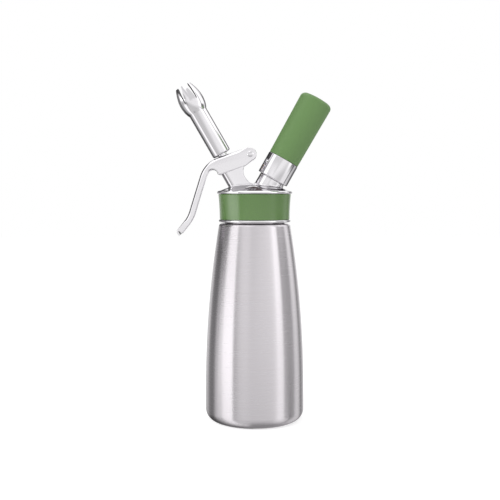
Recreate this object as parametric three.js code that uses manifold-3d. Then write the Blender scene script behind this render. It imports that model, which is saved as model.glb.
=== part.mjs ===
// Whipped cream dispenser: a half-litre steel pressure bottle with a cast screw-on head.
// The head carries a leaning valve with a squeeze lever and a decorator tip, and a leaning
// inlet on which the holder of the gas charger screws.
// Millimetres, +Z up. The origin is the centre of the bottle's base. The valve leans to -X,
// the inlet to +X, and the plane of both is XZ.
import * as THREE from "three";
import { mergeVertices } from "three/addons/utils/BufferGeometryUtils.js";
import Module from "manifold-3d";

const wasm = await Module();
wasm.setup();

// Clearances that all pieces share
const seatGap = 0.3; // between faces that touch on the real object
const runningGap = 0.3; // beside a piece that slides or turns
const overrun = 2; // how far a cutting tool runs past a face
const mergeDistance = 0.001;

// Bottle
const bottleRadius = 40.5;
const bottleWall = 1.2;
const bottleFloor = 1.6;
const footRound = 9;
const bellyTop = 30; // where the side starts to draw in
const shoulderHeight = 162;
const shoulderRadius = 29.8;
const shoulderRound = 2;
const footGrooveRadius = 26;
const footGrooveWidth = 4;
const footGrooveDepth = 0.6;

// Bottle neck
const neckRadius = 24.9;
const neckWall = 1.5;
const neckHeight = 16;

// Screw threads. The shares are of the pitch, and are the widths of a ridge at root and crest
const threadRootShare = 0.575;
const threadCrestShare = 0.35;
const threadSinkShare = 0.4; // of a ridge's depth, sunk in the wall that it stands on
const threadPhase = THREE.MathUtils.degToRad(4); // keeps a ridge's corners off the wall's edges
const neckPitch = 4;
const neckTurns = 2;
const neckThreadDepth = 1.3;
const neckThreadGap = 0.4;
const holderPitch = 2.5;
const holderTurns = 2;
const holderThreadDepth = 0.8;
const holderThreadGap = 0.35;
const tipPitch = 2;
const tipTurns = 2;
const tipThreadDepth = 0.7;
const tipThreadGap = 0.35;

// Head: lip, skirt, rim and dome
const lipGap = 1.3; // over the bottle's shoulder
const lipWidth = 1.8; // beyond the skirt
const lipHeight = 1.9;
const skirtWall = 1.4;
const rimRise = 6; // of the rim's lower face over the roof inside
const rimWidth = 3.2; // beyond the skirt
const rimHeight = 1.4;
const rimChamfer = 0.8;
const domeFootRadius = 23;
const domeShoulderRadius = 14;
const coneRise = 2.7;
const domeShoulderRise = 4.5;
const domeRise = 5;
const roofRadius = 21; // inside, where the gasket's seat ends
const vaultRadius = 19;
const vaultRise = 2.7;
const vaultCrownRise = 5.7;

// Head gasket and grip band
const gasketThickness = 2.2;
const gasketInnerRadius = 21.5;
const gasketTabReach = 2.5; // in from the ring
const gasketTabHold = 0.5; // within the ring
const gasketTabWidth = 7;
const bandFootThickness = 0.7;
const bandTopThickness = 1.9;
const bandHollow = 0.25; // how far the band's side curves in

// Valve axis and the column that holds the valve
const valveLean = THREE.MathUtils.degToRad(30);
const valveCrossDrop = 8.2; // under the roof, where the valve's axis crosses the bottle's
const columnHalfThickness = 6;
const columnLeft = 9;
const columnFoot = 20;
const slabFootRise = 7.2; // over the roof
const valveBossRadius = 8;
const valveBossTop = 18.5;
const seatLevel = 4; // lower face of the valve boss
const portDepth = 4;
const portRadius = 4.2;

// Pivot ear, on the far side of the valve from the handle
const pivotReach = 20.4;
const pivotLevel = 42.5;
const earRadius = 4.1;
const throatRadius = 10.2;
const throatOffset = 3.1;
const earFrom = THREE.MathUtils.degToRad(135);
const throatTo = THREE.MathUtils.degToRad(288);

// Lever. Its own frame has the pivot at the origin and the web parallel to X
const leverThrow = THREE.MathUtils.degToRad(11);
const webTop = 6; // above the pivot's axis
const webThickness = 1.5;
const cheekThickness = 1.5;
const bossRadius = 5.2;
const cheekDrop = 8.3;
const cheekCornerReach = 6.9;
const cheekCornerDrop = 7.55;
const lobeReach = 28.6;
const lobeRound = 2;
const notchStep = 6.6; // from the lobe on to the notch
const notchDrop = 6.2;
const notchRadius = 4.35;
const notchFrom = THREE.MathUtils.degToRad(121.5);
const notchTo = THREE.MathUtils.degToRad(-13.5);
const lobeFrom = THREE.MathUtils.degToRad(207);
const bossTo = THREE.MathUtils.degToRad(81);
const webLength = 26.1;
const bendRadius = 23.8;
const bendTurn = THREE.MathUtils.degToRad(54);
const gripLength = 30.8;
const flareRadius = 23.6;
const flareTurn = THREE.MathUtils.degToRad(21);
const tailLength = 9;
const handleDepth = 4.9;
const lipBendRadius = 2.4;
const lipTurn = THREE.MathUtils.degToRad(72);
const lipLength = 2.4;
const slotGap = 0.5;

// Pivot pin and its clip
const pinRadius = 1.9;
const pinHeadRadius = 2.7;
const pinRimHeight = 0.45;
const pinDomeRise = 0.55;
const pinTail = 1.2; // beyond the clip
const pinGrooveDepth = 0.5;
const clipRadius = 3.4;
const clipThickness = 0.7;

// Valve stem
const stemBore = 1.4;
const spigotRadius = 2.4;
const spigotLength = 7;
const stemRadius = 3.1;
const stemNeckRadius = 3.75;
const flangeInset = 0.4; // from the column's side
const flangeThickness = 1.7;
const flangeGap = 0.25;
const sidePortRadius = 0.8;
const sidePortRise = 2.2; // above the seat
const tipLandLength = 1.4;
const tipCoreRadius = 3.6;

// Seal rings, nut and guide of the valve
const ringSection = 0.5;
const stemRingLevel = 13;
const stemRingRadius = 2.75;
const ringGap = 0.15;
const seatSealRadius = 5.2;
const seatSealThickness = 2.5;
const nutFlats = 8;
const nutThickness = 2.6;
const guideLength = 12;
const guideRadius = 4.3;
const guideFlangeThickness = 1;

// Return spring
const springWire = 0.5; // half the wire's diameter
const springRadius = 4.1;
const springTurns = 7;
const springRoomGap = 0.3;

// Decorator tip. Its outline is given by levels on the valve's axis
const tipFootGap = 0.49; // over the lever's web at rest, on the handle's side
const tipRadius = 7.9;
const tipWall = 1;
const tipFootRound = 1.2;
const tipHubLength = 11;
const tipTubeLength = 39.8;
const tipBellyRise = 9.8; // over the tube's end
const tipBellyRadius = 10.5;
const tipMouthRise = 15; // over the belly
const tipTopRadius = 7;
const petalCount = 6;
const petalSlotFoot = 1;
const petalSlotTop = 3.8;
const tipRingRoom = 1.7;
const tipRingRadius = 5;

// Inlet axis and its stub
const inletLean = THREE.MathUtils.degToRad(29.5);
const inletCrossDrop = 7.8; // under the roof
const stubRadius = 11.1;
const stubFoot = 18;
const holderRise = 3.69; // of the holder's lowest point over the rim
const stubThreadRadius = 10.7;
const stubThreadLength = 12;
const inletBossRadius = 6;
const inletBossFoot = 11.5;
const passageRadius = 1.5;
const ballRoomRadius = 2.9;
const ballRoomLength = 7.5;
const insertSink = 8.2; // of the insert's seat under the stub's shoulder
const insertRadius = 6.7;
const insertLength = 11.6;

// Inlet pieces
const inletSealThickness = 2.2;
const inletSealBore = 2;
const needleRadius = 0.9;
const needleBodyRadius = 2.6;
const needleBodyLength = 5;
const needlePoint = 1.6;
const needleReach = 2; // into the charger's neck
const checkBallRadius = 2.1;
const ballSeatShare = 0.25; // of the ball's radius, sunk in its seat
const ballRestShare = 0.35; // of the ball's radius, from its middle down to its spring
const checkWire = 0.3;
const checkTurns = 3;

// Charger: the gas cartridge
const chargerRadius = 9;
const chargerLength = 65;
const chargerNeckRadius = 4;
const chargerNeckLength = 8;
const chargerShoulderLength = 6.3;
const chargerEndRound = 6;
const chargerWall = 1.3;
const pierceRadius = 1.3;

// Charger holder and its sleeve
const holderRingRadius = 13.4;
const holderRingLength = 18.3;
const holderRingChamfer = 0.6;
const cupRadius = 11;
const cupGap = 0.4; // round the charger
const cupTopThickness = 1.5;
const sleeveFootRadius = 13.2;
const sleeveTopRadius = 14.1;
const sleeveTopThickness = 2.4;
const sleeveCornerRound = 3.8;

// Burst disc and relief plug, at the back of the dome
const reliefLean = THREE.MathUtils.degToRad(20);
const reliefReach = 20;
const reliefRise = 3.2; // of the middle of the plug's seat, over the rim
const reliefBore = 3.2;
const reliefDepth = 6;
const reliefVent = 1.4;
const reliefFaceRadius = 6;
const plugFlats = 8;
const plugHeadHeight = 2.4;
const discThickness = 0.5;
const discRadius = 2.9;

// How finely round shapes are divided
const bodySegments = 40;
const middleSegments = 30;
const smallSegments = 20;
const hiddenSegments = 16;
const neckThreadSteps = 20;
const holderThreadSteps = 15;
const tipThreadSteps = 10;
const coilSteps = 8;
const sideSteps = 4; // outside of the bottle, for its foot and for its side
const innerSteps = 3;
const shoulderSteps = 2;
const flareSteps = 5;
const hexSides = 6;
const ballRings = 8;
const portSegments = 8;
const coilSides = 5;
const ringSides = 6;
const arcStep = THREE.MathUtils.degToRad(22.5);

// Colours, roughness and metalness of the finishes
const finishes = {
  brushedSteel: { color: 0xb9b8ba, roughness: 0.38, metalness: 1 },
  polishedSteel: { color: 0xd9d8db, roughness: 0.16, metalness: 1 },
  satinSteel: { color: 0xdcdadd, roughness: 0.3, metalness: 1 },
  springSteel: { color: 0xa9a8a8, roughness: 0.3, metalness: 1 },
  brass: { color: 0xc2a25c, roughness: 0.35, metalness: 1 },
  greenSilicone: { color: 0x6b8a5c, roughness: 0.6, metalness: 0 },
  greySilicone: { color: 0x8c9088, roughness: 0.65, metalness: 0 },
  blackRubber: { color: 0x26262a, roughness: 0.6, metalness: 0 },
  acetal: { color: 0xe4e2da, roughness: 0.45, metalness: 0 },
};

// Plane points, and the stretches that outlines are made of
const at = (x, y) => new THREE.Vector2(x, y);

function arc(centre, radius, from, to, steps = Math.ceil(Math.abs(to - from) / arcStep)) {
  return Array.from({ length: steps + 1 }, (_, i) => {
    const angle = from + ((to - from) * i) / steps;
    return at(centre.x + radius * Math.cos(angle), centre.y + radius * Math.sin(angle));
  });
}

const quarter = Math.PI / 2;

// Follows a path of straight runs and arcs, and returns the points that lie to its left by
// the inset.
function tracePath(start, heading, moves, inset) {
  let spot = start.clone();
  let angle = heading;
  const leftward = () => at(-Math.sin(angle), Math.cos(angle));
  const points = [spot.clone().addScaledVector(leftward(), inset)];
  for (const { run, radius, turn } of moves) {
    if (run !== undefined) {
      spot = spot.clone().add(at(run * Math.cos(angle), run * Math.sin(angle)));
      points.push(spot.clone().addScaledVector(leftward(), inset));
      continue;
    }
    const reach = radius * Math.sign(turn);
    const centre = spot.clone().addScaledVector(leftward(), reach);
    const steps = Math.ceil(Math.abs(turn) / arcStep);
    for (let i = 0; i < steps; i++) {
      angle += turn / steps;
      spot = centre.clone().addScaledVector(leftward(), -reach);
      points.push(spot.clone().addScaledVector(leftward(), inset));
    }
  }
  return points;
}

// A turned solid about Z. The profile is (radius, height), up the outside and down the inside.
function turned(profile, segments) {
  return new THREE.LatheGeometry(profile, segments).rotateX(quarter);
}

// The same, closed on itself, for rings and tubes
function turnedRing(profile, segments) {
  return turned([...profile, profile[0]], segments);
}

function rod(radius, from, to, segments) {
  return turned([at(0, from), at(radius, from), at(radius, to), at(0, to)], segments);
}

function tube(inner, outer, from, to, segments) {
  return turnedRing([at(inner, from), at(outer, from), at(outer, to), at(inner, to)], segments);
}

// A flat plate in the XZ plane, with its thickness shared to both sides of it
function plate(outline, thickness) {
  return new THREE.ExtrudeGeometry(new THREE.Shape(outline), { depth: thickness, bevelEnabled: false })
    .translate(0, 0, -thickness / 2)
    .rotateX(quarter);
}

// A closed surface over rings of points that all have the same count
function skinned(rings) {
  const sides = rings[0].length;
  const last = (rings.length - 1) * sides;
  const faces = [];
  for (let ring = 0; ring < rings.length - 1; ring++) {
    for (let side = 0; side < sides; side++) {
      const a = ring * sides + side;
      const b = ring * sides + ((side + 1) % sides);
      faces.push(a, b, b + sides, a, b + sides, a + sides);
    }
  }
  for (let side = 1; side < sides - 1; side++) {
    faces.push(0, side + 1, side);
    faces.push(last, last + side, last + side + 1);
  }
  const geometry = new THREE.BufferGeometry().setFromPoints(rings.flat());
  geometry.setIndex(faces);
  return geometry;
}

// The ridge of a right-handed screw thread about Z. It stands out of a core, or with a negative
// depth into a bore, and its foot is sunk in that wall.
function threadRidge({ radius, depth, pitch, turns, start, steps }) {
  const sink = depth * threadSinkShare;
  const root = (pitch * threadRootShare) / 2;
  const crest = (pitch * threadCrestShare) / 2;
  const foot = root + (root - crest) * threadSinkShare;
  const section = [
    [radius - sink, -foot],
    [radius + depth, -crest],
    [radius + depth, crest],
    [radius - sink, foot],
  ];
  if (depth > 0) section.reverse();
  const rings = [];
  for (let i = 0; i <= steps * turns; i++) {
    const angle = threadPhase + (i / steps) * 2 * Math.PI;
    const height = start + (pitch * i) / steps;
    rings.push(
      section.map(
        ([r, rise]) => new THREE.Vector3(r * Math.cos(angle), r * Math.sin(angle), height + rise),
      ),
    );
  }
  return skinned(rings);
}

// A helical spring about Z: one unbroken tube of round wire
function coil({ radius, wire, turns, from, to }) {
  const rings = [];
  const steps = coilSteps * turns;
  const climb = to - from - 2 * wire;
  const slope = Math.atan2(climb, 2 * Math.PI * radius * turns);
  for (let i = 0; i <= steps; i++) {
    const angle = (i / coilSteps) * 2 * Math.PI;
    const out = new THREE.Vector3(Math.cos(angle), Math.sin(angle), 0);
    const up = new THREE.Vector3(
      Math.sin(angle) * Math.sin(slope),
      -Math.cos(angle) * Math.sin(slope),
      Math.cos(slope),
    );
    const middle = out.clone().multiplyScalar(radius);
    middle.z = from + wire + (climb * i) / steps;
    rings.push(
      Array.from({ length: coilSides }, (_, side) => {
        const around = (-side / coilSides) * 2 * Math.PI;
        return middle
          .clone()
          .addScaledVector(out, wire * Math.cos(around))
          .addScaledVector(up, wire * Math.sin(around));
      }),
    );
  }
  const gap = climb / turns - 2 * wire;
  console.log("spring's least gap to itself, mm:", gap.toFixed(2));
  return skinned(rings);
}

// Joins and cuts
function solidOf(geometry) {
  const bare = geometry.clone();
  bare.deleteAttribute("normal");
  bare.deleteAttribute("uv");
  const merged = mergeVertices(bare, mergeDistance);
  const corners = merged.index.array;
  const kept = [];
  for (let i = 0; i < corners.length; i += 3) {
    const [a, b, c] = corners.slice(i, i + 3);
    if (a !== b && b !== c && c !== a) kept.push(a, b, c);
  }
  const vertProperties = merged.attributes.position.array;
  return new wasm.Manifold(
    new wasm.Mesh({ numProp: 3, vertProperties, triVerts: new Uint32Array(kept) }),
  );
}

function geometryOf(solid) {
  const { vertProperties, triVerts } = solid.getMesh();
  const geometry = new THREE.BufferGeometry();
  geometry.setAttribute("position", new THREE.BufferAttribute(vertProperties, 3));
  geometry.setIndex(new THREE.BufferAttribute(triVerts, 1));
  geometry.computeVertexNormals();
  return geometry;
}

function joined(...geometries) {
  return geometries.map(solidOf).reduce((whole, part) => whole.add(part));
}

function cut(solid, ...geometries) {
  return geometries.map(solidOf).reduce((whole, tool) => whole.subtract(tool), solid);
}

// Levels that several pieces share
const neckTop = shoulderHeight + neckHeight;
const gasketFoot = neckTop + seatGap;
const gasketTop = gasketFoot + gasketThickness;
const roofHeight = gasketTop + seatGap;
const lipFoot = shoulderHeight + lipGap;
const lipTop = lipFoot + lipHeight;
const rimFoot = roofHeight + rimRise;
const rimTop = rimFoot + rimHeight + rimChamfer;
const valveCrossHeight = roofHeight - valveCrossDrop;
const inletCrossHeight = roofHeight - inletCrossDrop;
const reliefHeight = rimTop + reliefRise;
const headBore = neckRadius + neckThreadDepth + neckThreadGap;
const skirtRadius = headBore + skirtWall;
const lipRadius = skirtRadius + lipWidth;
const rimRadius = skirtRadius + rimWidth;
const neckThreadStart = neckTop - neckPitch * (neckTurns + (1 + threadRootShare) / 2);

// The frames that the pieces are placed in
const dispenser = new THREE.Group();
dispenser.name = "whipped_cream_dispenser";

const valveFrame = new THREE.Group();
valveFrame.position.z = valveCrossHeight;
valveFrame.rotation.y = -valveLean;
dispenser.add(valveFrame);

const leverFrame = new THREE.Group();
leverFrame.position.set(pivotReach, 0, pivotLevel);
leverFrame.rotation.y = leverThrow;
valveFrame.add(leverFrame);

const inletFrame = new THREE.Group();
inletFrame.position.z = inletCrossHeight;
inletFrame.rotation.y = inletLean;
dispenser.add(inletFrame);

const reliefFrame = new THREE.Group();
reliefFrame.position.set(0, reliefReach, reliefHeight);
reliefFrame.rotation.x = -reliefLean;
dispenser.add(reliefFrame);

dispenser.updateMatrixWorld(true);

// A geometry that is drawn in a frame, moved to where that frame lies
const placed = (geometry, frame) => geometry.applyMatrix4(frame.matrixWorld);

function addPiece(frame, name, shape, finish) {
  const geometry = shape.isBufferGeometry ? shape : geometryOf(shape);
  if (!geometry.attributes.normal) geometry.computeVertexNormals();
  const mesh = new THREE.Mesh(geometry, new THREE.MeshStandardMaterial(finishes[finish]));
  mesh.name = name;
  frame.add(mesh);
}

// The bottle: side, shoulder, neck and base, all of one wall
function bottleShape() {
  const taperHeight = shoulderHeight - shoulderRound - bellyTop;
  const taperDrop = bottleRadius - shoulderRadius;
  const taperRadius = (taperHeight ** 2 + taperDrop ** 2) / (2 * taperDrop);
  const taperTurn = Math.asin(taperHeight / taperRadius);
  const side = (inset, steps) =>
    Array.from({ length: steps + 1 }, (_, i) => {
      const angle = (taperTurn * i) / steps;
      return at(
        bottleRadius - inset - taperRadius * (1 - Math.cos(angle)),
        bellyTop + taperRadius * Math.sin(angle),
      );
    });
  const foot = (inset, steps) =>
    arc(at(bottleRadius - footRound, footRound), footRound - inset, -quarter, 0, steps).slice(1);
  const grooveIn = footGrooveRadius - footGrooveWidth / 2;
  const grooveOut = footGrooveRadius + footGrooveWidth / 2;
  const crown = at(shoulderRadius - shoulderRound, shoulderHeight - shoulderRound);
  const neckBore = neckRadius - neckWall;
  const body = turned(
    [
      at(0, 0),
      at(grooveIn, 0),
      at(footGrooveRadius, footGrooveDepth),
      at(grooveOut, 0),
      at(bottleRadius - footRound, 0),
      ...foot(0, sideSteps),
      ...side(0, sideSteps),
      ...arc(crown, shoulderRound, 0, quarter, shoulderSteps).slice(1),
      at(neckRadius, shoulderHeight),
      at(neckRadius, neckTop - neckWall / 2),
      at(neckRadius - neckWall / 2, neckTop),
      at(neckBore, neckTop),
      at(neckBore, shoulderHeight - bottleWall),
      at(shoulderRadius - shoulderRound, shoulderHeight - bottleWall),
      ...side(bottleWall, innerSteps).reverse(),
      ...foot(bottleWall, innerSteps).reverse().filter((point) => point.y > bottleFloor),
      at(bottleRadius - footRound, bottleFloor),
      at(0, bottleFloor),
    ],
    bodySegments,
  );
  const ridge = threadRidge({
    radius: neckRadius,
    depth: neckThreadDepth,
    pitch: neckPitch,
    turns: neckTurns,
    start: neckThreadStart,
    steps: neckThreadSteps,
  });
  return joined(body, ridge);
}
addPiece(dispenser, "bottle", bottleShape(), "brushedSteel");

// The gasket, a flat ring with a tab to pull it out by
function gasketShape() {
  const ring = tube(gasketInnerRadius, headBore - neckThreadGap, gasketFoot, gasketTop, bodySegments);
  const tab = new THREE.BoxGeometry(gasketTabWidth, gasketTabReach + gasketTabHold, gasketThickness);
  tab.translate(
    0,
    gasketInnerRadius + (gasketTabHold - gasketTabReach) / 2,
    (gasketFoot + gasketTop) / 2,
  );
  return joined(ring, tab);
}
addPiece(dispenser, "head_gasket", gasketShape(), "greySilicone");

// Valve levels, on the valve's axis
const guideFoot = seatLevel + portDepth;
const springRoomFoot = guideFoot + guideLength;
const springRoomRadius = springRadius + springWire + springRoomGap;
const webUnder = webTop - webThickness;
const flangePressedTop = pivotLevel + webUnder - flangeGap;
const flangeRadius = columnHalfThickness - flangeInset;
const valveTravel =
  webUnder / Math.cos(leverThrow) +
  (pivotReach - flangeRadius) * Math.tan(leverThrow) -
  webUnder;
const flangeTop = flangePressedTop + valveTravel;
const columnTop = flangePressedTop - flangeThickness - seatGap;
const tipFoot =
  pivotLevel +
  webTop / Math.cos(leverThrow) +
  (pivotReach + tipRadius) * Math.tan(leverThrow) +
  tipFootGap;
const tipKinkLevel = tipFoot + tipTubeLength;
const tipBellyLevel = tipKinkLevel + tipBellyRise;
const tipTopLevel = tipBellyLevel + tipMouthRise;

// Inlet levels, on the inlet's axis
const stubShoulder =
  (rimTop + holderRise - inletCrossHeight + holderRingRadius * Math.sin(inletLean)) /
  Math.cos(inletLean);
const stubTop = stubShoulder + stubThreadLength;
const stubThreadStart = stubTop - holderPitch * (holderTurns + threadRootShare);
const insertLevel = stubShoulder - insertSink;
const ballRoomFoot = insertLevel - ballRoomLength;
const insertTop = insertLevel + seatGap + insertLength;
const inletSealTop = insertTop + seatGap + inletSealThickness;
const chargerFoot = inletSealTop + seatGap;
const chargerTop = chargerFoot + chargerLength;
const insertBore = insertRadius + seatGap;
const holderBore = stubThreadRadius + holderThreadDepth + holderThreadGap;
const cupInnerTop = chargerTop + seatGap;
const cupTop = cupInnerTop + cupTopThickness;
const holderRingTop = stubShoulder + holderRingLength;

// The slab of the column and the pivot ear, drawn in the valve's frame
function slabOutline() {
  const throat = at(pivotReach - throatOffset, pivotLevel - earRadius - throatRadius);
  const footLevel = (x) =>
    (slabFootRise + valveCrossDrop - x * Math.sin(valveLean)) / Math.cos(valveLean);
  const left = columnHalfThickness - columnLeft;
  const throatEnd = arc(throat, throatRadius, quarter, throatTo);
  const right = throatEnd[throatEnd.length - 1].x;
  return [
    at(left, footLevel(left)),
    at(left, columnTop),
    ...arc(at(pivotReach, pivotLevel), earRadius, earFrom, -quarter),
    ...throatEnd,
    at(right, footLevel(right)),
  ];
}

// The head: skirt, rim and dome as one turned body, the valve column with its ear, the inlet
// stub, the bosses under the roof, and every bore
function headShape() {
  const shell = turnedRing(
    [
      at(headBore, lipFoot),
      at(lipRadius, lipFoot),
      at(lipRadius, lipTop),
      at(skirtRadius, lipTop),
      at(skirtRadius, rimFoot),
      at(rimRadius, rimFoot),
      at(rimRadius, rimFoot + rimHeight),
      at(rimRadius - rimChamfer, rimTop),
      at(domeFootRadius, rimTop + coneRise),
      at(domeShoulderRadius, rimTop + domeShoulderRise),
      at(0, rimTop + domeRise),
      at(0, roofHeight + vaultCrownRise),
      at(vaultRadius, roofHeight + vaultRise),
      at(roofRadius, roofHeight),
      at(headBore, roofHeight),
    ],
    bodySegments,
  );
  const ridge = threadRidge({
    radius: headBore,
    depth: -neckThreadDepth,
    pitch: neckPitch,
    turns: neckTurns,
    start: neckThreadStart + neckPitch / 2,
    steps: neckThreadSteps,
  });
  const slab = placed(plate(slabOutline(), 2 * columnHalfThickness), valveFrame);
  const columnBack = placed(
    rod(columnHalfThickness, columnFoot, columnTop, smallSegments)
      .translate(columnHalfThickness - columnLeft, 0, 0),
    valveFrame,
  );
  const valveBoss = placed(rod(valveBossRadius, seatLevel, valveBossTop, hiddenSegments), valveFrame);
  const stub = placed(
    turned(
      [
        at(0, stubFoot),
        at(stubRadius, stubFoot),
        at(stubRadius, stubShoulder - seatGap),
        at(stubThreadRadius, stubShoulder - seatGap),
        at(stubThreadRadius, stubTop),
        at(0, stubTop),
      ],
      middleSegments,
    ),
    inletFrame,
  );
  const stubRidge = placed(
    threadRidge({
      radius: stubThreadRadius,
      depth: holderThreadDepth,
      pitch: holderPitch,
      turns: holderTurns,
      start: stubThreadStart,
      steps: holderThreadSteps,
    }),
    inletFrame,
  );
  const inletBoss = placed(
    rod(inletBossRadius, inletBossFoot, stubFoot + overrun, hiddenSegments),
    inletFrame,
  );
  const casting = joined(shell, ridge, slab, columnBack, valveBoss, stub, stubRidge, inletBoss);
  const valveBores = [
    rod(portRadius, seatLevel - overrun, guideFoot, hiddenSegments),
    rod(guideRadius + seatGap, guideFoot, springRoomFoot, hiddenSegments),
    rod(springRoomRadius, springRoomFoot, columnTop + overrun, hiddenSegments),
  ].map((tool) => placed(tool, valveFrame));
  const inletBores = [
    rod(passageRadius, inletBossFoot - overrun, ballRoomFoot, hiddenSegments),
    rod(ballRoomRadius, ballRoomFoot, insertLevel, hiddenSegments),
    rod(insertBore, insertLevel, stubTop + overrun, hiddenSegments),
  ].map((tool) => placed(tool, inletFrame));
  const reliefBores = [
    rod(reliefBore, -reliefDepth, overrun, hiddenSegments),
    rod(reliefVent, -reliefDepth - 2 * overrun, -reliefDepth, hiddenSegments),
    rod(reliefFaceRadius, 0, 2 * overrun, hiddenSegments),
  ].map((tool) => placed(tool, reliefFrame));
  const pinBore = placed(
    rod(pinRadius + seatGap, -columnHalfThickness - overrun, columnHalfThickness + overrun, smallSegments)
      .rotateX(quarter),
    leverFrame,
  );
  return cut(casting, ...valveBores, ...inletBores, ...reliefBores, pinBore);
}
addPiece(dispenser, "head", headShape(), "polishedSteel");

// The grip band, whose side curves in a little between its ends
function bandShape() {
  const foot = lipTop + seatGap;
  const top = rimFoot - seatGap;
  const inner = skirtRadius + seatGap;
  const middleThickness = (bandFootThickness + bandTopThickness) / 2 - bandHollow;
  return turnedRing(
    [
      at(inner, foot),
      at(inner + bandFootThickness, foot),
      at(inner + middleThickness, (foot + top) / 2),
      at(inner + bandTopThickness, top),
      at(inner, top),
    ],
    bodySegments,
  );
}
addPiece(dispenser, "grip_band", bandShape(), "greenSilicone");

// The lever: two cheeks joined by the web, which runs on as the handle's back to the lip
const cheekGap = columnHalfThickness + seatGap;
const cheekOut = cheekGap + cheekThickness;

function leverShape() {
  const start = at(0, webTop);
  const handle = [
    { run: webLength },
    { radius: bendRadius, turn: bendTurn },
    { run: gripLength },
    { radius: flareRadius, turn: -flareTurn },
    { run: tailLength },
  ];
  const curledLip = [{ radius: lipBendRadius, turn: lipTurn }, { run: lipLength }];
  const outer = tracePath(start, Math.PI, handle, 0);
  const inner = tracePath(start, Math.PI, handle, handleDepth);
  const underside = tracePath(start, Math.PI, handle, webThickness);
  const notch = at(-lobeReach - notchStep, -notchDrop);
  // the handle's inner edge, from its end back to where the notch cuts it
  const innerEdge = inner
    .slice(0, -1)
    .filter((point) => point.x < notch.x - notchRadius / 2)
    .reverse();
  const cheek = plate(
    [
      ...arc(at(0, 0), bossRadius, -quarter, bossTo),
      ...outer,
      underside[underside.length - 1],
      ...innerEdge,
      ...arc(notch, notchRadius, notchFrom, notchTo),
      ...arc(at(-lobeReach, lobeRound - cheekDrop), lobeRound, lobeFrom, 3 * quarter),
      at(-cheekCornerReach, -cheekCornerDrop),
    ],
    2 * cheekOut,
  );
  const farEnough = 2 * (webLength + gripLength + tailLength);
  const between = new THREE.BoxGeometry(2 * farEnough, 2 * cheekGap, 2 * farEnough);
  const webOuter = tracePath(start, Math.PI, [...handle, ...curledLip], 0);
  const webInner = tracePath(start, Math.PI, [...handle, ...curledLip], webThickness);
  const web = plate([...webOuter, ...webInner.reverse()], 2 * cheekOut);
  const slotHalfWidth = stemNeckRadius + slotGap;
  const slotFrom = pivotReach - slotGap;
  const slotTo =
    pivotReach / Math.cos(leverThrow) + webTop * Math.tan(leverThrow) + slotGap;
  const slotEnds = [slotFrom, slotTo].map((reach) =>
    rod(slotHalfWidth, webUnder - overrun, webTop + overrun, smallSegments).translate(-reach, 0, 0),
  );
  const slotMiddle = new THREE.BoxGeometry(
    slotTo - slotFrom,
    2 * slotHalfWidth,
    webThickness + 2 * overrun,
  ).translate(-(slotFrom + slotTo) / 2, 0, (webUnder + webTop) / 2);
  const pinHole = rod(pinRadius + runningGap, -cheekOut - overrun, cheekOut + overrun, smallSegments)
    .rotateX(quarter);
  const channel = cut(solidOf(cheek), between).add(solidOf(web));
  return cut(channel, ...slotEnds, slotMiddle, pinHole);
}
addPiece(leverFrame, "lever", leverShape(), "satinSteel");

// The pivot pin, with a domed head in front and a groove for its clip behind
const clipNear = cheekOut + seatGap;
const clipFar = clipNear + clipThickness;

function pinShape() {
  const headSide = -cheekOut - seatGap;
  const tail = clipFar + seatGap + pinTail;
  const neck = pinRadius - pinGrooveDepth;
  const dome = arc(at(0, 0), 1, -quarter, 0).map(({ x, y }) =>
    at(pinHeadRadius * x, headSide - pinRimHeight + pinDomeRise * y),
  );
  return turned(
    [
      ...dome,
      at(pinHeadRadius, headSide),
      at(pinRadius, headSide),
      at(pinRadius, clipNear - seatGap),
      at(neck, clipNear - seatGap),
      at(neck, clipFar + seatGap),
      at(pinRadius, clipFar + seatGap),
      at(pinRadius, tail),
      at(0, tail),
    ],
    smallSegments,
  ).rotateX(-quarter);
}
addPiece(leverFrame, "pivot_pin", pinShape(), "polishedSteel");

// The clip, open on one side so that it can be pushed into the groove
function clipShape() {
  const neck = pinRadius - pinGrooveDepth + ringGap;
  const ring = tube(neck, clipRadius, clipNear, clipFar, smallSegments).rotateX(-quarter);
  const mouth = new THREE.BoxGeometry(clipRadius, clipThickness + 2 * overrun, 2 * neck);
  mouth.translate(clipRadius / 2 + neck / 2, (clipNear + clipFar) / 2, 0);
  return cut(solidOf(ring), mouth);
}
addPiece(leverFrame, "pivot_clip", clipShape(), "springSteel");

// The valve stem: spigot, ring groove, flange under the lever, neck and tip thread
const tipThreadRadius = tipCoreRadius + tipThreadDepth;
const tipRingLevel = tipFoot + tipRingRoom / 2;
const tipThreadFoot = tipFoot + tipRingRoom;
const stemTop = tipFoot + tipHubLength - tipWall;
const tipThreadStart = stemTop - tipPitch * (tipTurns + threadRootShare);

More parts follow.
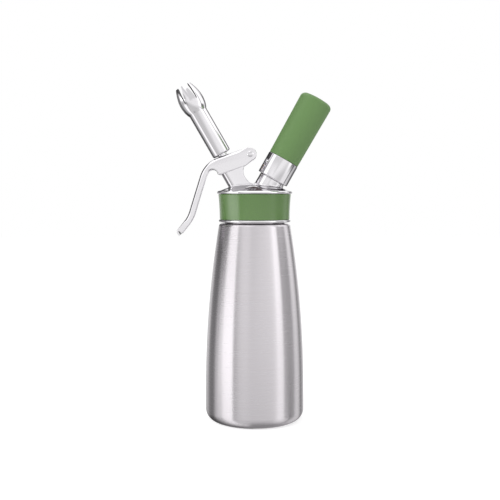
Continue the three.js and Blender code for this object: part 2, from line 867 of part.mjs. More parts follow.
function stemShape() {
  const groove = stemRingRadius - ringSection - ringGap;
  const grooveHalf = ringSection + ringGap;
  const body = turned(
    [
      at(0, seatLevel - spigotLength),
      at(spigotRadius, seatLevel - spigotLength),
      at(spigotRadius, seatLevel),
      at(stemRadius, seatLevel),
      at(stemRadius, stemRingLevel - grooveHalf),
      at(groove, stemRingLevel - grooveHalf),
      at(groove, stemRingLevel + grooveHalf),
      at(stemRadius, stemRingLevel + grooveHalf),
      at(stemRadius, flangeTop - flangeThickness),
      at(flangeRadius, flangeTop - flangeThickness),
      at(flangeRadius, flangeTop),
      at(stemNeckRadius, flangeTop),
      at(stemNeckRadius, tipFoot),
      at(tipThreadRadius, tipFoot + ringGap),
      at(tipThreadRadius, tipFoot + tipLandLength),
      at(tipCoreRadius, tipFoot + tipLandLength),
      at(tipCoreRadius, stemTop),
      at(0, stemTop),
    ],
    smallSegments,
  );
  const ridge = threadRidge({
    radius: tipCoreRadius,
    depth: tipThreadDepth,
    pitch: tipPitch,
    turns: tipTurns,
    start: tipThreadStart,
    steps: tipThreadSteps,
  });
  const portLevel = seatLevel + sidePortRise;
  const bore = rod(stemBore, portLevel, stemTop + overrun, smallSegments);
  const sidePort = rod(sidePortRadius, -stemRadius - overrun, stemRadius + overrun, portSegments)
    .rotateX(quarter)
    .translate(0, 0, portLevel);
  return cut(joined(body, ridge), bore, sidePort);
}
addPiece(valveFrame, "valve_stem", stemShape(), "polishedSteel");

// Rings of round section
function ringAt(radius, level) {
  return new THREE.TorusGeometry(radius, ringSection, ringSides, hiddenSegments).translate(0, 0, level);
}
addPiece(valveFrame, "stem_o_ring", ringAt(stemRingRadius, stemRingLevel), "blackRubber");
addPiece(valveFrame, "tip_o_ring", ringAt(tipRingRadius, tipRingLevel), "blackRubber");

// The seat seal closes the port from below, and the nut holds it on the stem's spigot
const seatSealTop = seatLevel - seatGap;
const seatSealFoot = seatSealTop - seatSealThickness;
const spigotHole = spigotRadius + seatGap;
addPiece(
  valveFrame,
  "seat_seal",
  tube(spigotHole, seatSealRadius, seatSealFoot, seatSealTop, hiddenSegments),
  "greySilicone",
);

function nutShape() {
  const top = seatSealFoot - seatGap;
  const cornerRadius = nutFlats / 2 / Math.cos(Math.PI / hexSides);
  const hexagon = rod(cornerRadius, top - nutThickness, top, hexSides);
  const hole = rod(spigotHole, top - nutThickness - overrun, top + overrun, hiddenSegments);
  return cut(solidOf(hexagon), hole);
}
addPiece(valveFrame, "stem_nut", nutShape(), "brass");

// The guide bush, with a flange that the return spring stands on
const guideFlangeTop = springRoomFoot + seatGap + guideFlangeThickness;
function guideShape() {
  const bore = stemRadius + runningGap;
  return turnedRing(
    [
      at(bore, guideFoot + seatGap),
      at(guideRadius, guideFoot + seatGap),
      at(guideRadius, springRoomFoot + seatGap),
      at(springRoomRadius - seatGap, springRoomFoot + seatGap),
      at(springRoomRadius - seatGap, guideFlangeTop),
      at(bore, guideFlangeTop),
    ],
    hiddenSegments,
  );
}
addPiece(valveFrame, "valve_guide", guideShape(), "acetal");

addPiece(
  valveFrame,
  "return_spring",
  coil({
    radius: springRadius,
    wire: springWire,
    turns: springTurns,
    from: guideFlangeTop + seatGap,
    to: flangeTop - flangeThickness - seatGap,
  }),
  "springSteel",
);

// The decorator tip: hub with thread, straight tube, flared end cut into petals
function tipShape() {
  const hubTop = tipFoot + tipHubLength;
  const threadBore = tipThreadRadius + tipThreadGap;
  const ringRoom = tipRingRadius + ringSection + seatGap;
  const flare = (inset) =>
    new THREE.SplineCurve([
      at(tipRadius - inset, tipKinkLevel),
      at(tipBellyRadius - inset, tipBellyLevel),
      at((tipBellyRadius + tipTopRadius) / 2 + tipWall / 2 - inset, (tipBellyLevel + tipTopLevel) / 2),
      at(tipTopRadius - inset, tipTopLevel),
    ]).getPoints(flareSteps);
  const body = turnedRing(
    [
      at(ringRoom, tipFoot),
      at(tipRadius - tipFootRound, tipFoot),
      ...arc(at(tipRadius - tipFootRound, tipFoot + tipFootRound), tipFootRound, -quarter, 0).slice(1),
      ...flare(0),
      ...flare(tipWall).reverse(),
      at(tipRadius - tipWall, hubTop + tipWall),
      at(threadBore, hubTop),
      at(threadBore, tipThreadFoot),
      at(ringRoom, tipThreadFoot),
    ],
    middleSegments,
  );
  const ridge = threadRidge({
    radius: threadBore,
    depth: -tipThreadDepth,
    pitch: tipPitch,
    turns: tipTurns,
    start: tipThreadStart - tipPitch / 2,
    steps: tipThreadSteps,
  });
  const slotOutline = [
    ...arc(at(0, tipBellyLevel + petalSlotFoot), petalSlotFoot / 2, 2 * quarter, 4 * quarter),
    at(petalSlotTop / 2, tipTopLevel),
    at(petalSlotTop / 2, tipTopLevel + overrun),
    at(-petalSlotTop / 2, tipTopLevel + overrun),
    at(-petalSlotTop / 2, tipTopLevel),
  ];
  const slots = Array.from({ length: petalCount / 2 }, (_, i) =>
    plate(slotOutline, 2 * (tipBellyRadius + overrun)).rotateZ(((i + 0.5) * 2 * Math.PI) / petalCount),
  );
  return cut(joined(body, ridge), ...slots);
}
addPiece(valveFrame, "decorator_tip", tipShape(), "polishedSteel");

// The inlet insert, screwed into the stub: a seat for the check ball below, the needle above
const needleFoot = insertTop - needleBodyLength;
function insertShape() {
  const foot = insertLevel + seatGap;
  const needleHole = needleBodyRadius + seatGap;
  return turnedRing(
    [
      at(passageRadius, foot + checkBallRadius * ballSeatShare),
      at(checkBallRadius, foot),
      at(insertRadius, foot),
      at(insertRadius, insertTop),
      at(needleHole, insertTop),
      at(needleHole, needleFoot - seatGap),
      at(passageRadius, needleFoot - seatGap),
    ],
    hiddenSegments,
  );
}
addPiece(inletFrame, "inlet_insert", insertShape(), "brass");

// The needle that pierces the charger, hollow all the way
function needleShape() {
  const bore = needleRadius / 2;
  const pointTop = chargerFoot + needleReach;
  return turnedRing(
    [
      at(bore, needleFoot),
      at(needleBodyRadius, needleFoot),
      at(needleBodyRadius, insertTop),
      at(needleRadius, insertTop),
      at(needleRadius, pointTop - needlePoint),
      at(bore, pointTop),
    ],
    hiddenSegments,
  );
}
addPiece(inletFrame, "piercing_pin", needleShape(), "polishedSteel");

addPiece(
  inletFrame,
  "inlet_seal",
  tube(inletSealBore, insertRadius, insertTop + seatGap, inletSealTop, hiddenSegments),
  "greySilicone",
);

// The check valve: the spring holds the ball up against the insert's seat
const ballLevel = insertLevel + seatGap - checkBallRadius;
addPiece(
  inletFrame,
  "check_ball",
  new THREE.SphereGeometry(checkBallRadius, hiddenSegments, ballRings)
    .rotateX(quarter)
    .translate(0, 0, ballLevel),
  "polishedSteel",
);
addPiece(
  inletFrame,
  "check_spring",
  coil({
    radius: ballRoomRadius - checkWire - seatGap,
    wire: checkWire,
    turns: checkTurns,
    from: ballRoomFoot + seatGap,
    to: ballLevel - checkBallRadius * ballRestShare,
  }),
  "springSteel",
);

// The charger, a hollow cartridge whose neck the needle has pierced
function chargerShape() {
  const neckTopLevel = chargerFoot + chargerNeckLength;
  const shoulderTopLevel = neckTopLevel + chargerShoulderLength;
  const endFoot = chargerTop - chargerEndRound;
  const innerNeck = chargerNeckRadius - chargerWall;
  return turnedRing(
    [
      at(pierceRadius, chargerFoot),
      at(chargerNeckRadius, chargerFoot),
      at(chargerNeckRadius, neckTopLevel),
      at((chargerNeckRadius + chargerRadius) / 2 + chargerWall / 2, (neckTopLevel + shoulderTopLevel) / 2),
      at(chargerRadius, shoulderTopLevel),
      ...arc(at(chargerRadius - chargerEndRound, endFoot), chargerEndRound, 0, quarter),
      at(0, chargerTop),
      at(0, chargerTop - chargerWall),
      ...arc(at(chargerRadius - chargerEndRound, endFoot), chargerEndRound - chargerWall, quarter, 0),
      at(chargerRadius - chargerWall, shoulderTopLevel),
      at(innerNeck, neckTopLevel),
      at(innerNeck, chargerFoot + chargerWall),
      at(pierceRadius, chargerFoot + chargerWall),
    ],
    smallSegments,
  );
}
addPiece(inletFrame, "charger", chargerShape(), "satinSteel");

// The charger holder: a cup with a threaded ring at its mouth
function holderShape() {
  const cupBore = chargerRadius + cupGap;
  const stepLevel = stubTop + seatGap;
  const body = turned(
    [
      at(0, cupInnerTop),
      at(cupBore, cupInnerTop),
      at(cupBore, stepLevel),
      at(holderBore, stepLevel),
      at(holderBore, stubShoulder),
      at(holderRingRadius - holderRingChamfer, stubShoulder),
      at(holderRingRadius, stubShoulder + holderRingChamfer),
      at(holderRingRadius, holderRingTop),
      at(cupRadius, holderRingTop),
      at(cupRadius, cupTop),
      at(0, cupTop),
    ],
    middleSegments,
  );
  const ridge = threadRidge({
    radius: holderBore,
    depth: -holderThreadDepth,
    pitch: holderPitch,
    turns: holderTurns,
    start: stubThreadStart - holderPitch / 2,
    steps: holderThreadSteps,
  });
  return joined(body, ridge);
}
addPiece(inletFrame, "charger_holder", holderShape(), "polishedSteel");

// The sleeve, a silicone cap drawn over the cup
function sleeveShape() {
  const foot = holderRingTop + seatGap;
  const inner = cupRadius + seatGap;
  const innerTop = cupTop + seatGap;
  const top = innerTop + sleeveTopThickness;
  const cornerFoot = top - sleeveCornerRound;
  return turned(
    [
      at(0, innerTop),
      at(inner, innerTop),
      at(inner, foot),
      at(sleeveFootRadius, foot),
      ...arc(at(sleeveTopRadius - sleeveCornerRound, cornerFoot), sleeveCornerRound, 0, quarter),
      at(0, top),
    ],
    middleSegments,
  );
}
addPiece(inletFrame, "holder_sleeve", sleeveShape(), "greenSilicone");

// The burst disc on its shoulder, and the hollow plug that clamps it
addPiece(
  reliefFrame,
  "burst_disc",
  rod(discRadius, seatGap - reliefDepth, seatGap - reliefDepth + discThickness, hiddenSegments),
  "brass",
);

function plugShape() {
  const cornerRadius = plugFlats / 2 / Math.cos(Math.PI / hexSides);
  const shankFoot = 2 * seatGap - reliefDepth + discThickness;
  const headPart = rod(cornerRadius, seatGap, seatGap + plugHeadHeight, hexSides);
  const shank = rod(reliefBore - seatGap, shankFoot, plugHeadHeight / 2, hiddenSegments);
  const vent = rod(reliefVent, shankFoot - overrun, plugHeadHeight + overrun, hiddenSegments);
  return cut(joined(headPart, shank), vent);
}
addPiece(reliefFrame, "relief_plug", plugShape(), "brass");

export default dispenser;
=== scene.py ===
# Whipped cream dispenser: brushed steel bottle, cast head with a squeeze lever, decorator tip and
# charger holder. Sizes are in millimetres and become metres where a mesh is made.
import math

import bmesh
import bpy
import numpy as np
from mathutils import Matrix, Vector


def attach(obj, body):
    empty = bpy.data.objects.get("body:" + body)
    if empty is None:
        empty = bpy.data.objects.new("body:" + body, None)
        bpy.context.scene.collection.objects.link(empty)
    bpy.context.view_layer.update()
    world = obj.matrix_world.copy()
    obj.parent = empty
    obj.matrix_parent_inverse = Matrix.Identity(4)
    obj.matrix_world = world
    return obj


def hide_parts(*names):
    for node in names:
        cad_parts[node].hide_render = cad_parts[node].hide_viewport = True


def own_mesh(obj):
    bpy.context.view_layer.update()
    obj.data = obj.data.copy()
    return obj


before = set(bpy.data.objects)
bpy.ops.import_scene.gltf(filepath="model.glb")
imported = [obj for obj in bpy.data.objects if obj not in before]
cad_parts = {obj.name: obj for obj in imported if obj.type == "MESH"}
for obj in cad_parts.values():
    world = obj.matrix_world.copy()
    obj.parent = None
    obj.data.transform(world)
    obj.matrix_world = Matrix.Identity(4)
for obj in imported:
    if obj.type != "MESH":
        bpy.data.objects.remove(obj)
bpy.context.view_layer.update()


# The photo studio: a white room whose long softboxes and dark screens stand round the object.
# They show in the metal as upright bands. The camera sees plain white, and the floor keeps the
# object's soft shadow.
def node(tree, kind, inputs=None, **settings):
    """Adds a shader node of a kind, sets its properties, and sets each named input to a value or
    links it."""
    made = tree.nodes.new("ShaderNode" + kind)
    for name, value in settings.items():
        setattr(made, name, value)
    for name, value in (inputs or {}).items():
        if isinstance(value, bpy.types.NodeSocket):
            tree.links.new(value, made.inputs[name])
        else:
            made.inputs[name].default_value = value
    return made


def grey(level):
    """A grey as linear red, green, blue and alpha."""
    return level, level, level, 1


def placed(name, data):
    """Puts an object with this data in the scene."""
    made = bpy.data.objects.new(name, data)
    studio.collection.objects.link(made)
    return made


studio = bpy.context.scene
studio.view_settings.view_transform = "Standard"

# The room's zones. Each is a row of brightnesses at bearings in degrees from the camera's side,
# - to the left and + to the right; the petals' zone has them at heights.
room_bands = {
    # mirrored by upright walls
    "level": (
        (-180, 0.42), (-143, 0.44), (-136, 0.3), (-130, 0.23), (-114, 0.23),
        (-108, 0.4), (-104, 0.62), (-96, 0.62), (-90, 0.42), (-86, 0.46), (-80, 0.67),
        (-55, 0.67), (-51, 0.28), (-44, 0.42), (-36, 0.62), (-25, 0.69), (22, 0.69),
        (44, 0.72), (53, 0.9), (56, 1.15), (70, 1.15), (74, 0.32), (84, 0.13),
        (103, 0.11), (108, 0.45), (112, 0.7), (124, 0.7), (130, 0.45), (137, 0.15), (180, 0.1),
    ),
    # the strip just below the horizon, which the grip band mirrors
    "strip": (
        (-180, 0.6), (-143, 0.6), (-136, 0.3), (-130, 0.2), (-114, 0.2), (-108, 0.4),
        (-104, 0.7), (-97, 0.8), (-93, 1.6), (-86, 1.6), (-82, 1.9), (-55, 2.0), (-50, 0.4),
        (-44, 0.64), (-30, 0.69), (22, 0.69), (60, 0.66), (68, 0.6), (76, 0.55),
        (100, 0.5), (110, 0.6), (124, 0.5), (134, 0.2), (180, 0.12),
    ),
    # mirrored by the leaning tubes: above the horizon, by the tip's right and the holder's left
    "raised": (
        (-180, 0.06), (-125, 0.08), (-112, 0.4), (-100, 0.6), (-84, 0.7), (-79, 0.95),
        (-55, 0.95), (-51, 0.45), (-44, 0.55), (-36, 0.64), (-25, 0.69), (-18, 0.85),
        (18, 0.85), (25, 0.69), (44, 0.74), (53, 0.8), (58, 0.95), (70, 0.95), (75, 0.42),
        (81, 0.4), (86, 0.95), (126, 0.95), (133, 0.15), (180, 0.12),
    ),
    # and below it, by the tip's left and the holder's right
    "sunk": (
        (-180, 0.06), (-125, 0.08), (-112, 0.4), (-100, 0.6), (-90, 0.5), (-84, 0.8), (-79, 1.3),
        (-55, 1.3), (-51, 0.5), (-45, 0.67), (-36, 0.7), (-25, 0.68), (22, 0.67),
        (44, 0.74), (53, 0.9), (58, 1.0), (90, 1.0), (94, 0.25), (100, 0.25), (105, 0.8),
        (140, 0.8), (155, 0.25), (180, 0.2),
    ),
    # in front and to the left, which the tip's petals mirror
    "petal": ((-34, 0.76), (-6, 0.74), (4, 0.66), (10, 0.54), (22, 0.5), (27, 0.9)),
}  # fmt: skip
# the room is darker near the floor, between two heights of the mirrored direction
room_strength, low_share, low_from, low_to = 1.45, 0.66, -0.06, -0.34
# where the strip lies, and how the slanted measures of the cards lean
strip_height, gap_slope, tip_direction = -0.11, 3.2, (-0.5, 0, 0.866)
petal_lean, ceiling_lean = 0.5, 0.2
world = bpy.data.worlds.new("white_studio")
studio.world = world
world.use_nodes = True
tree = world.node_tree
tree.nodes.clear()
spot = node(tree, "TexCoord").outputs["Generated"]
to_right, away, up = node(tree, "SeparateXYZ", {0: spot}).outputs
toward_camera = node(tree, "Math", {0: away, 1: -1.0}, operation="MULTIPLY")
bearing = node(
    tree, "Math", {0: to_right, 1: toward_camera.outputs[0]}, operation="ARCTAN2"
).outputs[0]
sideways = node(tree, "Math", {0: to_right}, operation="ABSOLUTE").outputs[0]
petal_height, ceiling_height = [
    node(tree, "Math", {0: to_right, 1: lean, 2: up}, operation="MULTIPLY_ADD").outputs[0]
    for lean in (petal_lean, ceiling_lean)
]
shades = {}
for zone, wanted in room_bands.items():
    measure = petal_height if zone == "petal" else bearing
    share = node(tree, "MapRange", {"Value": measure, "From Min": -math.pi, "From Max": math.pi})
    shade = node(tree, "ValToRGB", {"Fac": share.outputs["Result"]})
    stops = shade.color_ramp.elements
    for place, (degrees, brightness) in enumerate(wanted):
        stop = stops[0] if place == 0 else stops.new((degrees + 180) / 360)
        stop.position = (degrees + 180) / 360
        stop.color = grey(brightness)
    stops.remove(stops[-1])
    shades[zone] = shade.outputs["Color"]
over_strip = node(tree, "Math", {0: up, 1: -strip_height}, operation="ADD")
off_strip = node(tree, "Math", {0: over_strip.outputs[0]}, operation="ABSOLUTE").outputs[0]
gap_height = node(
    tree, "Math", {0: sideways, 1: -gap_slope, 2: up}, operation="MULTIPLY_ADD"
).outputs[0]
along_tip = node(
    tree, "VectorMath", {0: spot, 1: tip_direction}, operation="DOT_PRODUCT"
).outputs["Value"]
seen_room = shades["level"]
# Cards before the room, each in front of the last. A card is a shade and its measures, and each
# measure has the value at which the card starts to show and the value at which it covers all.
for card, *limits in (
    (shades["strip"], (off_strip, 0.1, 0.065)),
    (shades["raised"], (up, 0.21, 0.32)),
    (shades["sunk"], (up, -0.33, -0.44)),
    # a black flag at the left, above the horizon
    (grey(0.06), (up, 0.0, 0.06), (bearing, -1.48, -1.58)),
    (shades["petal"], (away, -0.4, -0.6), (petal_height, -0.2, 0.1), (to_right, -0.05, -0.25)),
    # a white ceiling card in front, which the dome's rim and the lever's back mirror
    (grey(1.0), (ceiling_height, 0.5, 0.62), (away, -0.72, -0.62), (to_right, 0.65, 0.5)),
    # a grey table edge under the object, at the left
    (grey(0.3), (up, -0.7, -0.85), (to_right, -0.2, -0.05)),
    # a white card behind the object, which the dome mirrors
    (grey(1.0), (away, 0.0, 0.1), (sideways, 0.35, 0.3), (up, 0.26, 0.36)),
    # the dark gap over that card, which draws the lens in the front of the dome
    ((0.1, 0.08, 0.08, 1), (gap_height, 0.34, 0.4), (up, 0.84, 0.78), (away, 0.1, 0.2)),
    # a grey card before the middle petal
    (
        grey(0.54),
        (away, -0.35, -0.5),
        (along_tip, 0.05, 0.2),
        (to_right, -0.3, -0.15),
        (along_tip, 0.76, 0.68),
    ),
):
    cover = 1.0
    for measure, none, whole in limits:
        part = node(
            tree, "MapRange", {"Value": measure, "From Min": none, "From Max": whole}
        ).outputs["Result"]
        cover = node(tree, "Math", {0: part, 1: cover}, operation="MULTIPLY").outputs[0]
    seen_room = node(tree, "Mix", {0: cover, 6: seen_room, 7: card}, data_type="RGBA").outputs[2]
strength = node(
    tree,
    "MapRange",
    {
        "Value": up,
        "From Min": low_from,
        "From Max": low_to,
        "To Min": room_strength,
        "To Max": room_strength * low_share,
    },
).outputs["Result"]
rays = node(tree, "LightPath").outputs
through = node(
    tree, "Math", {0: rays["Is Camera Ray"], 1: rays["Is Transmission Ray"]}, operation="MAXIMUM"
)
either = node(tree, "Math", {0: through.outputs[0], 1: rays["Is Glossy Ray"]}, operation="MAXIMUM")
mirrored = node(tree, "Background", {"Color": seen_room, "Strength": strength})
white = node(tree, "Background", {"Color": grey(1), "Strength": 1.0})
backdrop = node(
    tree, "MixShader", {0: through.outputs[0], 1: mirrored.outputs[0], 2: white.outputs[0]}
)
ambient = 0.62  # what dull surfaces get from every side
room_light = node(tree, "Background", {"Color": grey(1), "Strength": ambient})
mixed = node(
    tree, "MixShader", {0: either.outputs[0], 1: room_light.outputs[0], 2: backdrop.outputs[0]}
)
node(tree, "OutputWorld", {"Surface": mixed.outputs[0]})

# the floor is matt white paper, lifted a little so that the camera sees it as white as the room
floor_reach, paper_white, paper_lift = 3.0, 0.86, 0.5
floor_mesh = bpy.data.meshes.new("floor")
floor_mesh.from_pydata(
    [(x * floor_reach, y * floor_reach, 0) for x, y in ((-1, -1), (1, -1), (1, 1), (-1, 1))],
    [],
    [(0, 1, 2, 3)],
)
floor = placed("floor", floor_mesh)
floor.visible_glossy = False
paper = bpy.data.materials.new("white_studio_paper")
paper.use_nodes = True
tree = paper.node_tree
tree.nodes.clear()
sheet = node(tree, "BsdfDiffuse", {"Color": grey(paper_white)})
lift = node(tree, "Emission", {"Color": grey(1), "Strength": paper_lift})
lifted = node(tree, "AddShader", {0: sheet.outputs[0], 1: lift.outputs[0]})
seen = node(tree, "LightPath").outputs["Is Camera Ray"]
shown = node(tree, "MixShader", {0: seen, 1: sheet.outputs[0], 2: lifted.outputs[0]})
node(tree, "OutputMaterial", {"Surface": shown.outputs[0]})
floor_mesh.materials.append(paper)

# two soft lamps in front shape the dull surfaces, and no metal mirrors them
aim = Vector((0, 0, 0.14))
for name, place, side, power in (
    ("key_lamp", (-0.75, -0.55, 0.75), 0.5, 4.6),
    ("fill_lamp", (0.8, -0.6, 0.6), 0.6, 2.4),
):
    lamp = bpy.data.lights.new(name, "AREA")
    lamp.size = side
    lamp.energy = power
    stand = placed(name, lamp)
    stand.location = place
    stand.rotation_euler = (aim - Vector(place)).to_track_quat("-Z", "Y").to_euler()
    stand.visible_glossy = False

# The camera stands level in front of the object, at the height of its head. The frame is 500
# pixels wide, and 0.833 mm of the object's middle plane fill one pixel.
eye_distance, eye_height, eye_side = 0.700, 0.185, -0.0039
focal_pixels, frame_pixels, horizon_row = 840.3, 500, 195.9
camera = bpy.data.cameras.new("camera")
camera.sensor_width = 36
camera.lens = camera.sensor_width * focal_pixels / frame_pixels
camera.shift_y = (horizon_row - frame_pixels / 2) / frame_pixels
camera.clip_start = 0.01
eye = placed("camera", camera)
eye.location = (eye_side, -eye_distance, eye_height)
eye.rotation_euler = (math.pi / 2, 0, 0)
studio.camera = eye


# The bottle: deep-drawn stainless steel, trimmed and rolled in at the neck, and brushed on a
# lathe, so that fine lines run round it. A rolled thread of two turns is on its neck.
def softened(corners, steps=5, ring=False):
    """A profile with its corners rounded. Each corner is (x, y, round), and its round is an arc
    that touches both edges: centre on the corner's bisector, at round / sin(half angle)."""
    corners = np.array(corners, float)
    count = len(corners)
    out = []
    for i in range(count):
        here, rounding = corners[i, :2], corners[i, 2]
        if rounding == 0 or (not ring and i in (0, count - 1)):
            out.append(here)
            continue
        back = corners[i - 1, :2] - here
        ahead = corners[(i + 1) % count, :2] - here
        back, ahead = back / np.linalg.norm(back), ahead / np.linalg.norm(ahead)
        half = math.acos(np.clip(back @ ahead, -1, 1)) / 2
        bisector = (back + ahead) / np.linalg.norm(back + ahead)
        centre = here + bisector * rounding / math.sin(half)
        foot = here + back * rounding / math.tan(half)
        first = foot - centre
        turn = math.pi - 2 * half
        if first[1] * back[0] - first[0] * back[1] < 0:
            turn = -turn
        angles = np.linspace(0, turn, steps + 1)
        square_on = np.array([-first[1], first[0]])
        out.extend(centre + np.outer(np.cos(angles), first) + np.outer(np.sin(angles), square_on))
    return np.array(out)


def about_z(radius, angle, height):
    """Points (r cos a, r sin a, h) of arrays that are spread over each other, row by row."""
    spread = np.broadcast_arrays(radius * np.cos(angle), radius * np.sin(angle), height)
    return np.stack(spread, -1).reshape(-1, 3)


def quads(rows, columns, row_ring=True, column_ring=True, flipped=False):
    """The faces between the points of a grid that is kept row by row. The last row or column of
    a ring is joined to the first."""
    i, j = np.meshgrid(
        np.arange(rows if row_ring else rows - 1),
        np.arange(columns if column_ring else columns - 1),
        indexing="ij",
    )
    after, above = (i + 1) % rows * columns, (j + 1) % columns
    faces = np.stack([i * columns + j, after + j, after + above, i * columns + above], 2)
    return faces.reshape(-1, 4)[:, [0, 3, 2, 1] if flipped else slice(None)]


def revolved(profile, sides=128, ring=False):
    """Carries a profile of (radius, height) once round Z: point = (r cos a, r sin a, h). It runs
    up the outside and down the inside. A ring's profile is closed on itself."""
    radius, height = np.asarray(profile, float).T
    angles = np.arange(sides)[:, None] * 2 * math.pi / sides
    return about_z(radius, angles, height), quads(sides, len(radius), column_ring=ring)


screw_turns, ridge_root, ridge_crest, ridge_sink = 2, 0.575, 0.35, 0.4
screw_reach = screw_turns + ridge_root


def thread(radius, depth, pitch, start, slices):
    """A screw thread's ridge: a trapezoid section carried up a helix, its height fading at both
    ends: point = (r cos a, r sin a, start + pitch a / 2 pi). The ridge's widths at root and crest
    are shares of the pitch, and a share of its depth is sunk in the wall. A negative depth
    stands inwards."""
    fade_turn, hidden = 0.7, 0.1
    count = slices * screw_turns + 1
    turned = np.linspace(0, 2 * math.pi * screw_turns, count)
    fade = np.clip(np.minimum(turned, turned[-1] - turned) / fade_turn, 0, 1)
    fade = fade * fade * (3 - 2 * fade)
    foot, top = pitch * ridge_root * (1 + hidden) / 2, pitch * ridge_crest / 2
    inner = np.full(count, radius - depth * ridge_sink)
    outer = radius + depth * ((1 + hidden) * fade - hidden)
    radii = np.stack([inner, outer, outer, inner], 1)
    across = np.array([foot, top, -top, -foot])
    if depth < 0:
        radii, across = radii[:, ::-1], across[::-1]
    rise = start + pitch * turned / (2 * math.pi)
    points = about_z(radii, turned[:, None], across + rise[:, None])
    ends = np.array([[3, 2, 1, 0], 4 * (count - 1) + np.arange(4)])
    return points, quads(count, 4, row_ring=False, flipped=True), ends


def shell_mesh(shells, place=None):
    """A mesh in metres from shells in millimetres, moved by place. A shell is its points and one
    or two arrays of faces. Points closer than the merging distance become one."""
    merging, shortest = 2e-7, 1e-7
    points, faces, base = [], [], 0
    for shell_points, *face_arrays in shells:
        points.append(shell_points)
        for face_array in face_arrays:
            faces += (face_array + base).tolist()
        base += len(shell_points)
    points = np.concatenate(points)
    if place is not None:
        turn = np.array(place.to_3x3())
        points = points @ turn.T + np.array(place.translation)
    mesh = bpy.data.meshes.new("piece")
    mesh.from_pydata((points / 1000).tolist(), [], faces)
    shape = bmesh.new()
    shape.from_mesh(mesh)
    bmesh.ops.remove_doubles(shape, verts=shape.verts, dist=merging)
    bmesh.ops.dissolve_degenerate(shape, edges=shape.edges, dist=shortest)
    shape.to_mesh(mesh)
    shape.free()
    return mesh


def add_piece(name, mesh, material, body, cad_node, crease=32):
    """Puts a mesh in the scene as a piece that rides on a body and stands for a CAD node. Edges
    sharper than the crease's angle stay sharp."""
    mesh.name = name
    mesh.materials.clear()
    mesh.materials.append(material)
    mesh.shade_smooth()
    mesh.set_sharp_from_angle(angle=math.radians(crease))
    piece = placed(name, mesh)
    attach(piece, body)
    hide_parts(cad_node)
    return piece


def linear(hex_colour):
    """An sRGB hex colour as linear red, green, blue and alpha."""
    parts = np.array([int(hex_colour[i : i + 2], 16) for i in (1, 3, 5)]) / 255
    curve = np.where(parts <= 0.04045, parts / 12.92, ((parts + 0.055) / 1.055) ** 2.4)
    return (*curve.tolist(), 1.0)


def finish(name, colour, tones, metallic, roughness, spread, grain, relief, detail=3.0, more=()):
    """A Principled material. A noise whose grains have a size in millimetres (one, or one along
    each axis) takes its colour from tone to tone and its roughness over the spread, and stands
    out by the relief in millimetres. Its other sockets are set by name."""
    quiet, loud = 0.3, 0.7  # between these two values lies nearly all of the noise
    made = bpy.data.materials.new(name)
    made.use_nodes = True
    tree = made.node_tree
    tree.nodes.clear()
    base = {"Base Color": linear(colour), "Metallic": metallic, "Roughness": roughness}
    shader = node(tree, "BsdfPrincipled", {**base, **dict(more)})
    node(tree, "OutputMaterial", {"Surface": shader.outputs[0]})
    place = node(tree, "TexCoord").outputs["Object"]
    stretch = np.broadcast_to(1000 / np.array(grain, float), 3).tolist()
    stretched = node(tree, "Mapping", {"Vector": place, "Scale": stretch}).outputs[0]
    noise = node(
        tree, "TexNoise", {"Vector": stretched, "Scale": 1.0, "Detail": detail}
    ).outputs["Fac"]
    low, high = spread
    span = {"From Min": quiet, "From Max": loud, "To Min": low, "To Max": high}
    grade = node(tree, "MapRange", {"Value": noise, **span})
    tree.links.new(grade.outputs["Result"], shader.inputs["Roughness"])
    shift = node(tree, "ValToRGB", {"Fac": noise})
    for stop, position, tone in zip(shift.color_ramp.elements, (quiet, loud), tones):
        stop.position, stop.color = position, linear(tone)
    tree.links.new(shift.outputs["Color"], shader.inputs["Base Color"])
    bump = node(tree, "Bump", {"Height": noise, "Distance": relief / 1000, "Strength": 1.0})
    tree.links.new(bump.outputs[0], shader.inputs["Normal"])
    return made


def arc(centre, radius, start, end, steps=16):
    """Points on a circle, from a start to an end angle in degrees."""
    angles = np.radians(np.linspace(start, end, steps + 1))
    return np.stack([centre[0] + radius * np.cos(angles), centre[1] + radius * np.sin(angles)], 1)


# brushed stainless steel: lines about 0.05 mm apart on the real bottle, drawn here 0.7 mm apart
# so that they show; they blur what the steel mirrors up and down, and keep it sharp sideways
line_spacing, line_length, quarter_turn = 0.7, 30.0, 0.25
brushed_steel = finish(
    "brushed_stainless_steel", "#DDD8DC", ("#DBD6DA", "#DEDADE"), 1.0, 0.26, (0.253, 0.277),
    (line_length, line_length, line_spacing), 0.0008,
    more={"Anisotropic": 0.95, "Anisotropic Rotation": quarter_turn},
)
tree = brushed_steel.node_tree
shader = tree.nodes["Principled BSDF"]
round_axis = node(tree, "Tangent", direction_type="RADIAL", axis="Z")
tree.links.new(round_axis.outputs[0], shader.inputs["Tangent"])

bottle_radius, bottle_wall, bottle_floor = 40.5, 1.2, 1.6
foot_round, belly_top = 9.0, 30.0
shoulder_height, shoulder_radius, shoulder_round = 162.0, 29.8, 2.0
visible_shoulder_round = 2.2
neck_radius, neck_wall, neck_top = 24.9, 1.5, 178.0
foot_groove_radius, foot_groove_width, foot_groove_depth = 26.0, 4.0, 0.6
neck_pitch, neck_thread_depth, neck_thread_start, neck_slices = 4.0, 1.3, 166.85, 80
taper_height = shoulder_height - shoulder_round - belly_top
taper_drop = bottle_radius - shoulder_radius
taper_radius = (taper_height**2 + taper_drop**2) / (2 * taper_drop)
climb = np.linspace(0, math.asin(taper_height / taper_radius), 40)
side_line = np.column_stack(
    [bottle_radius - taper_radius * (1 - np.cos(climb)), belly_top + taper_radius * np.sin(climb)]
)
foot_line = arc((bottle_radius - foot_round, foot_round), foot_round, -90, 0, 13)
groove = foot_groove_width / 2
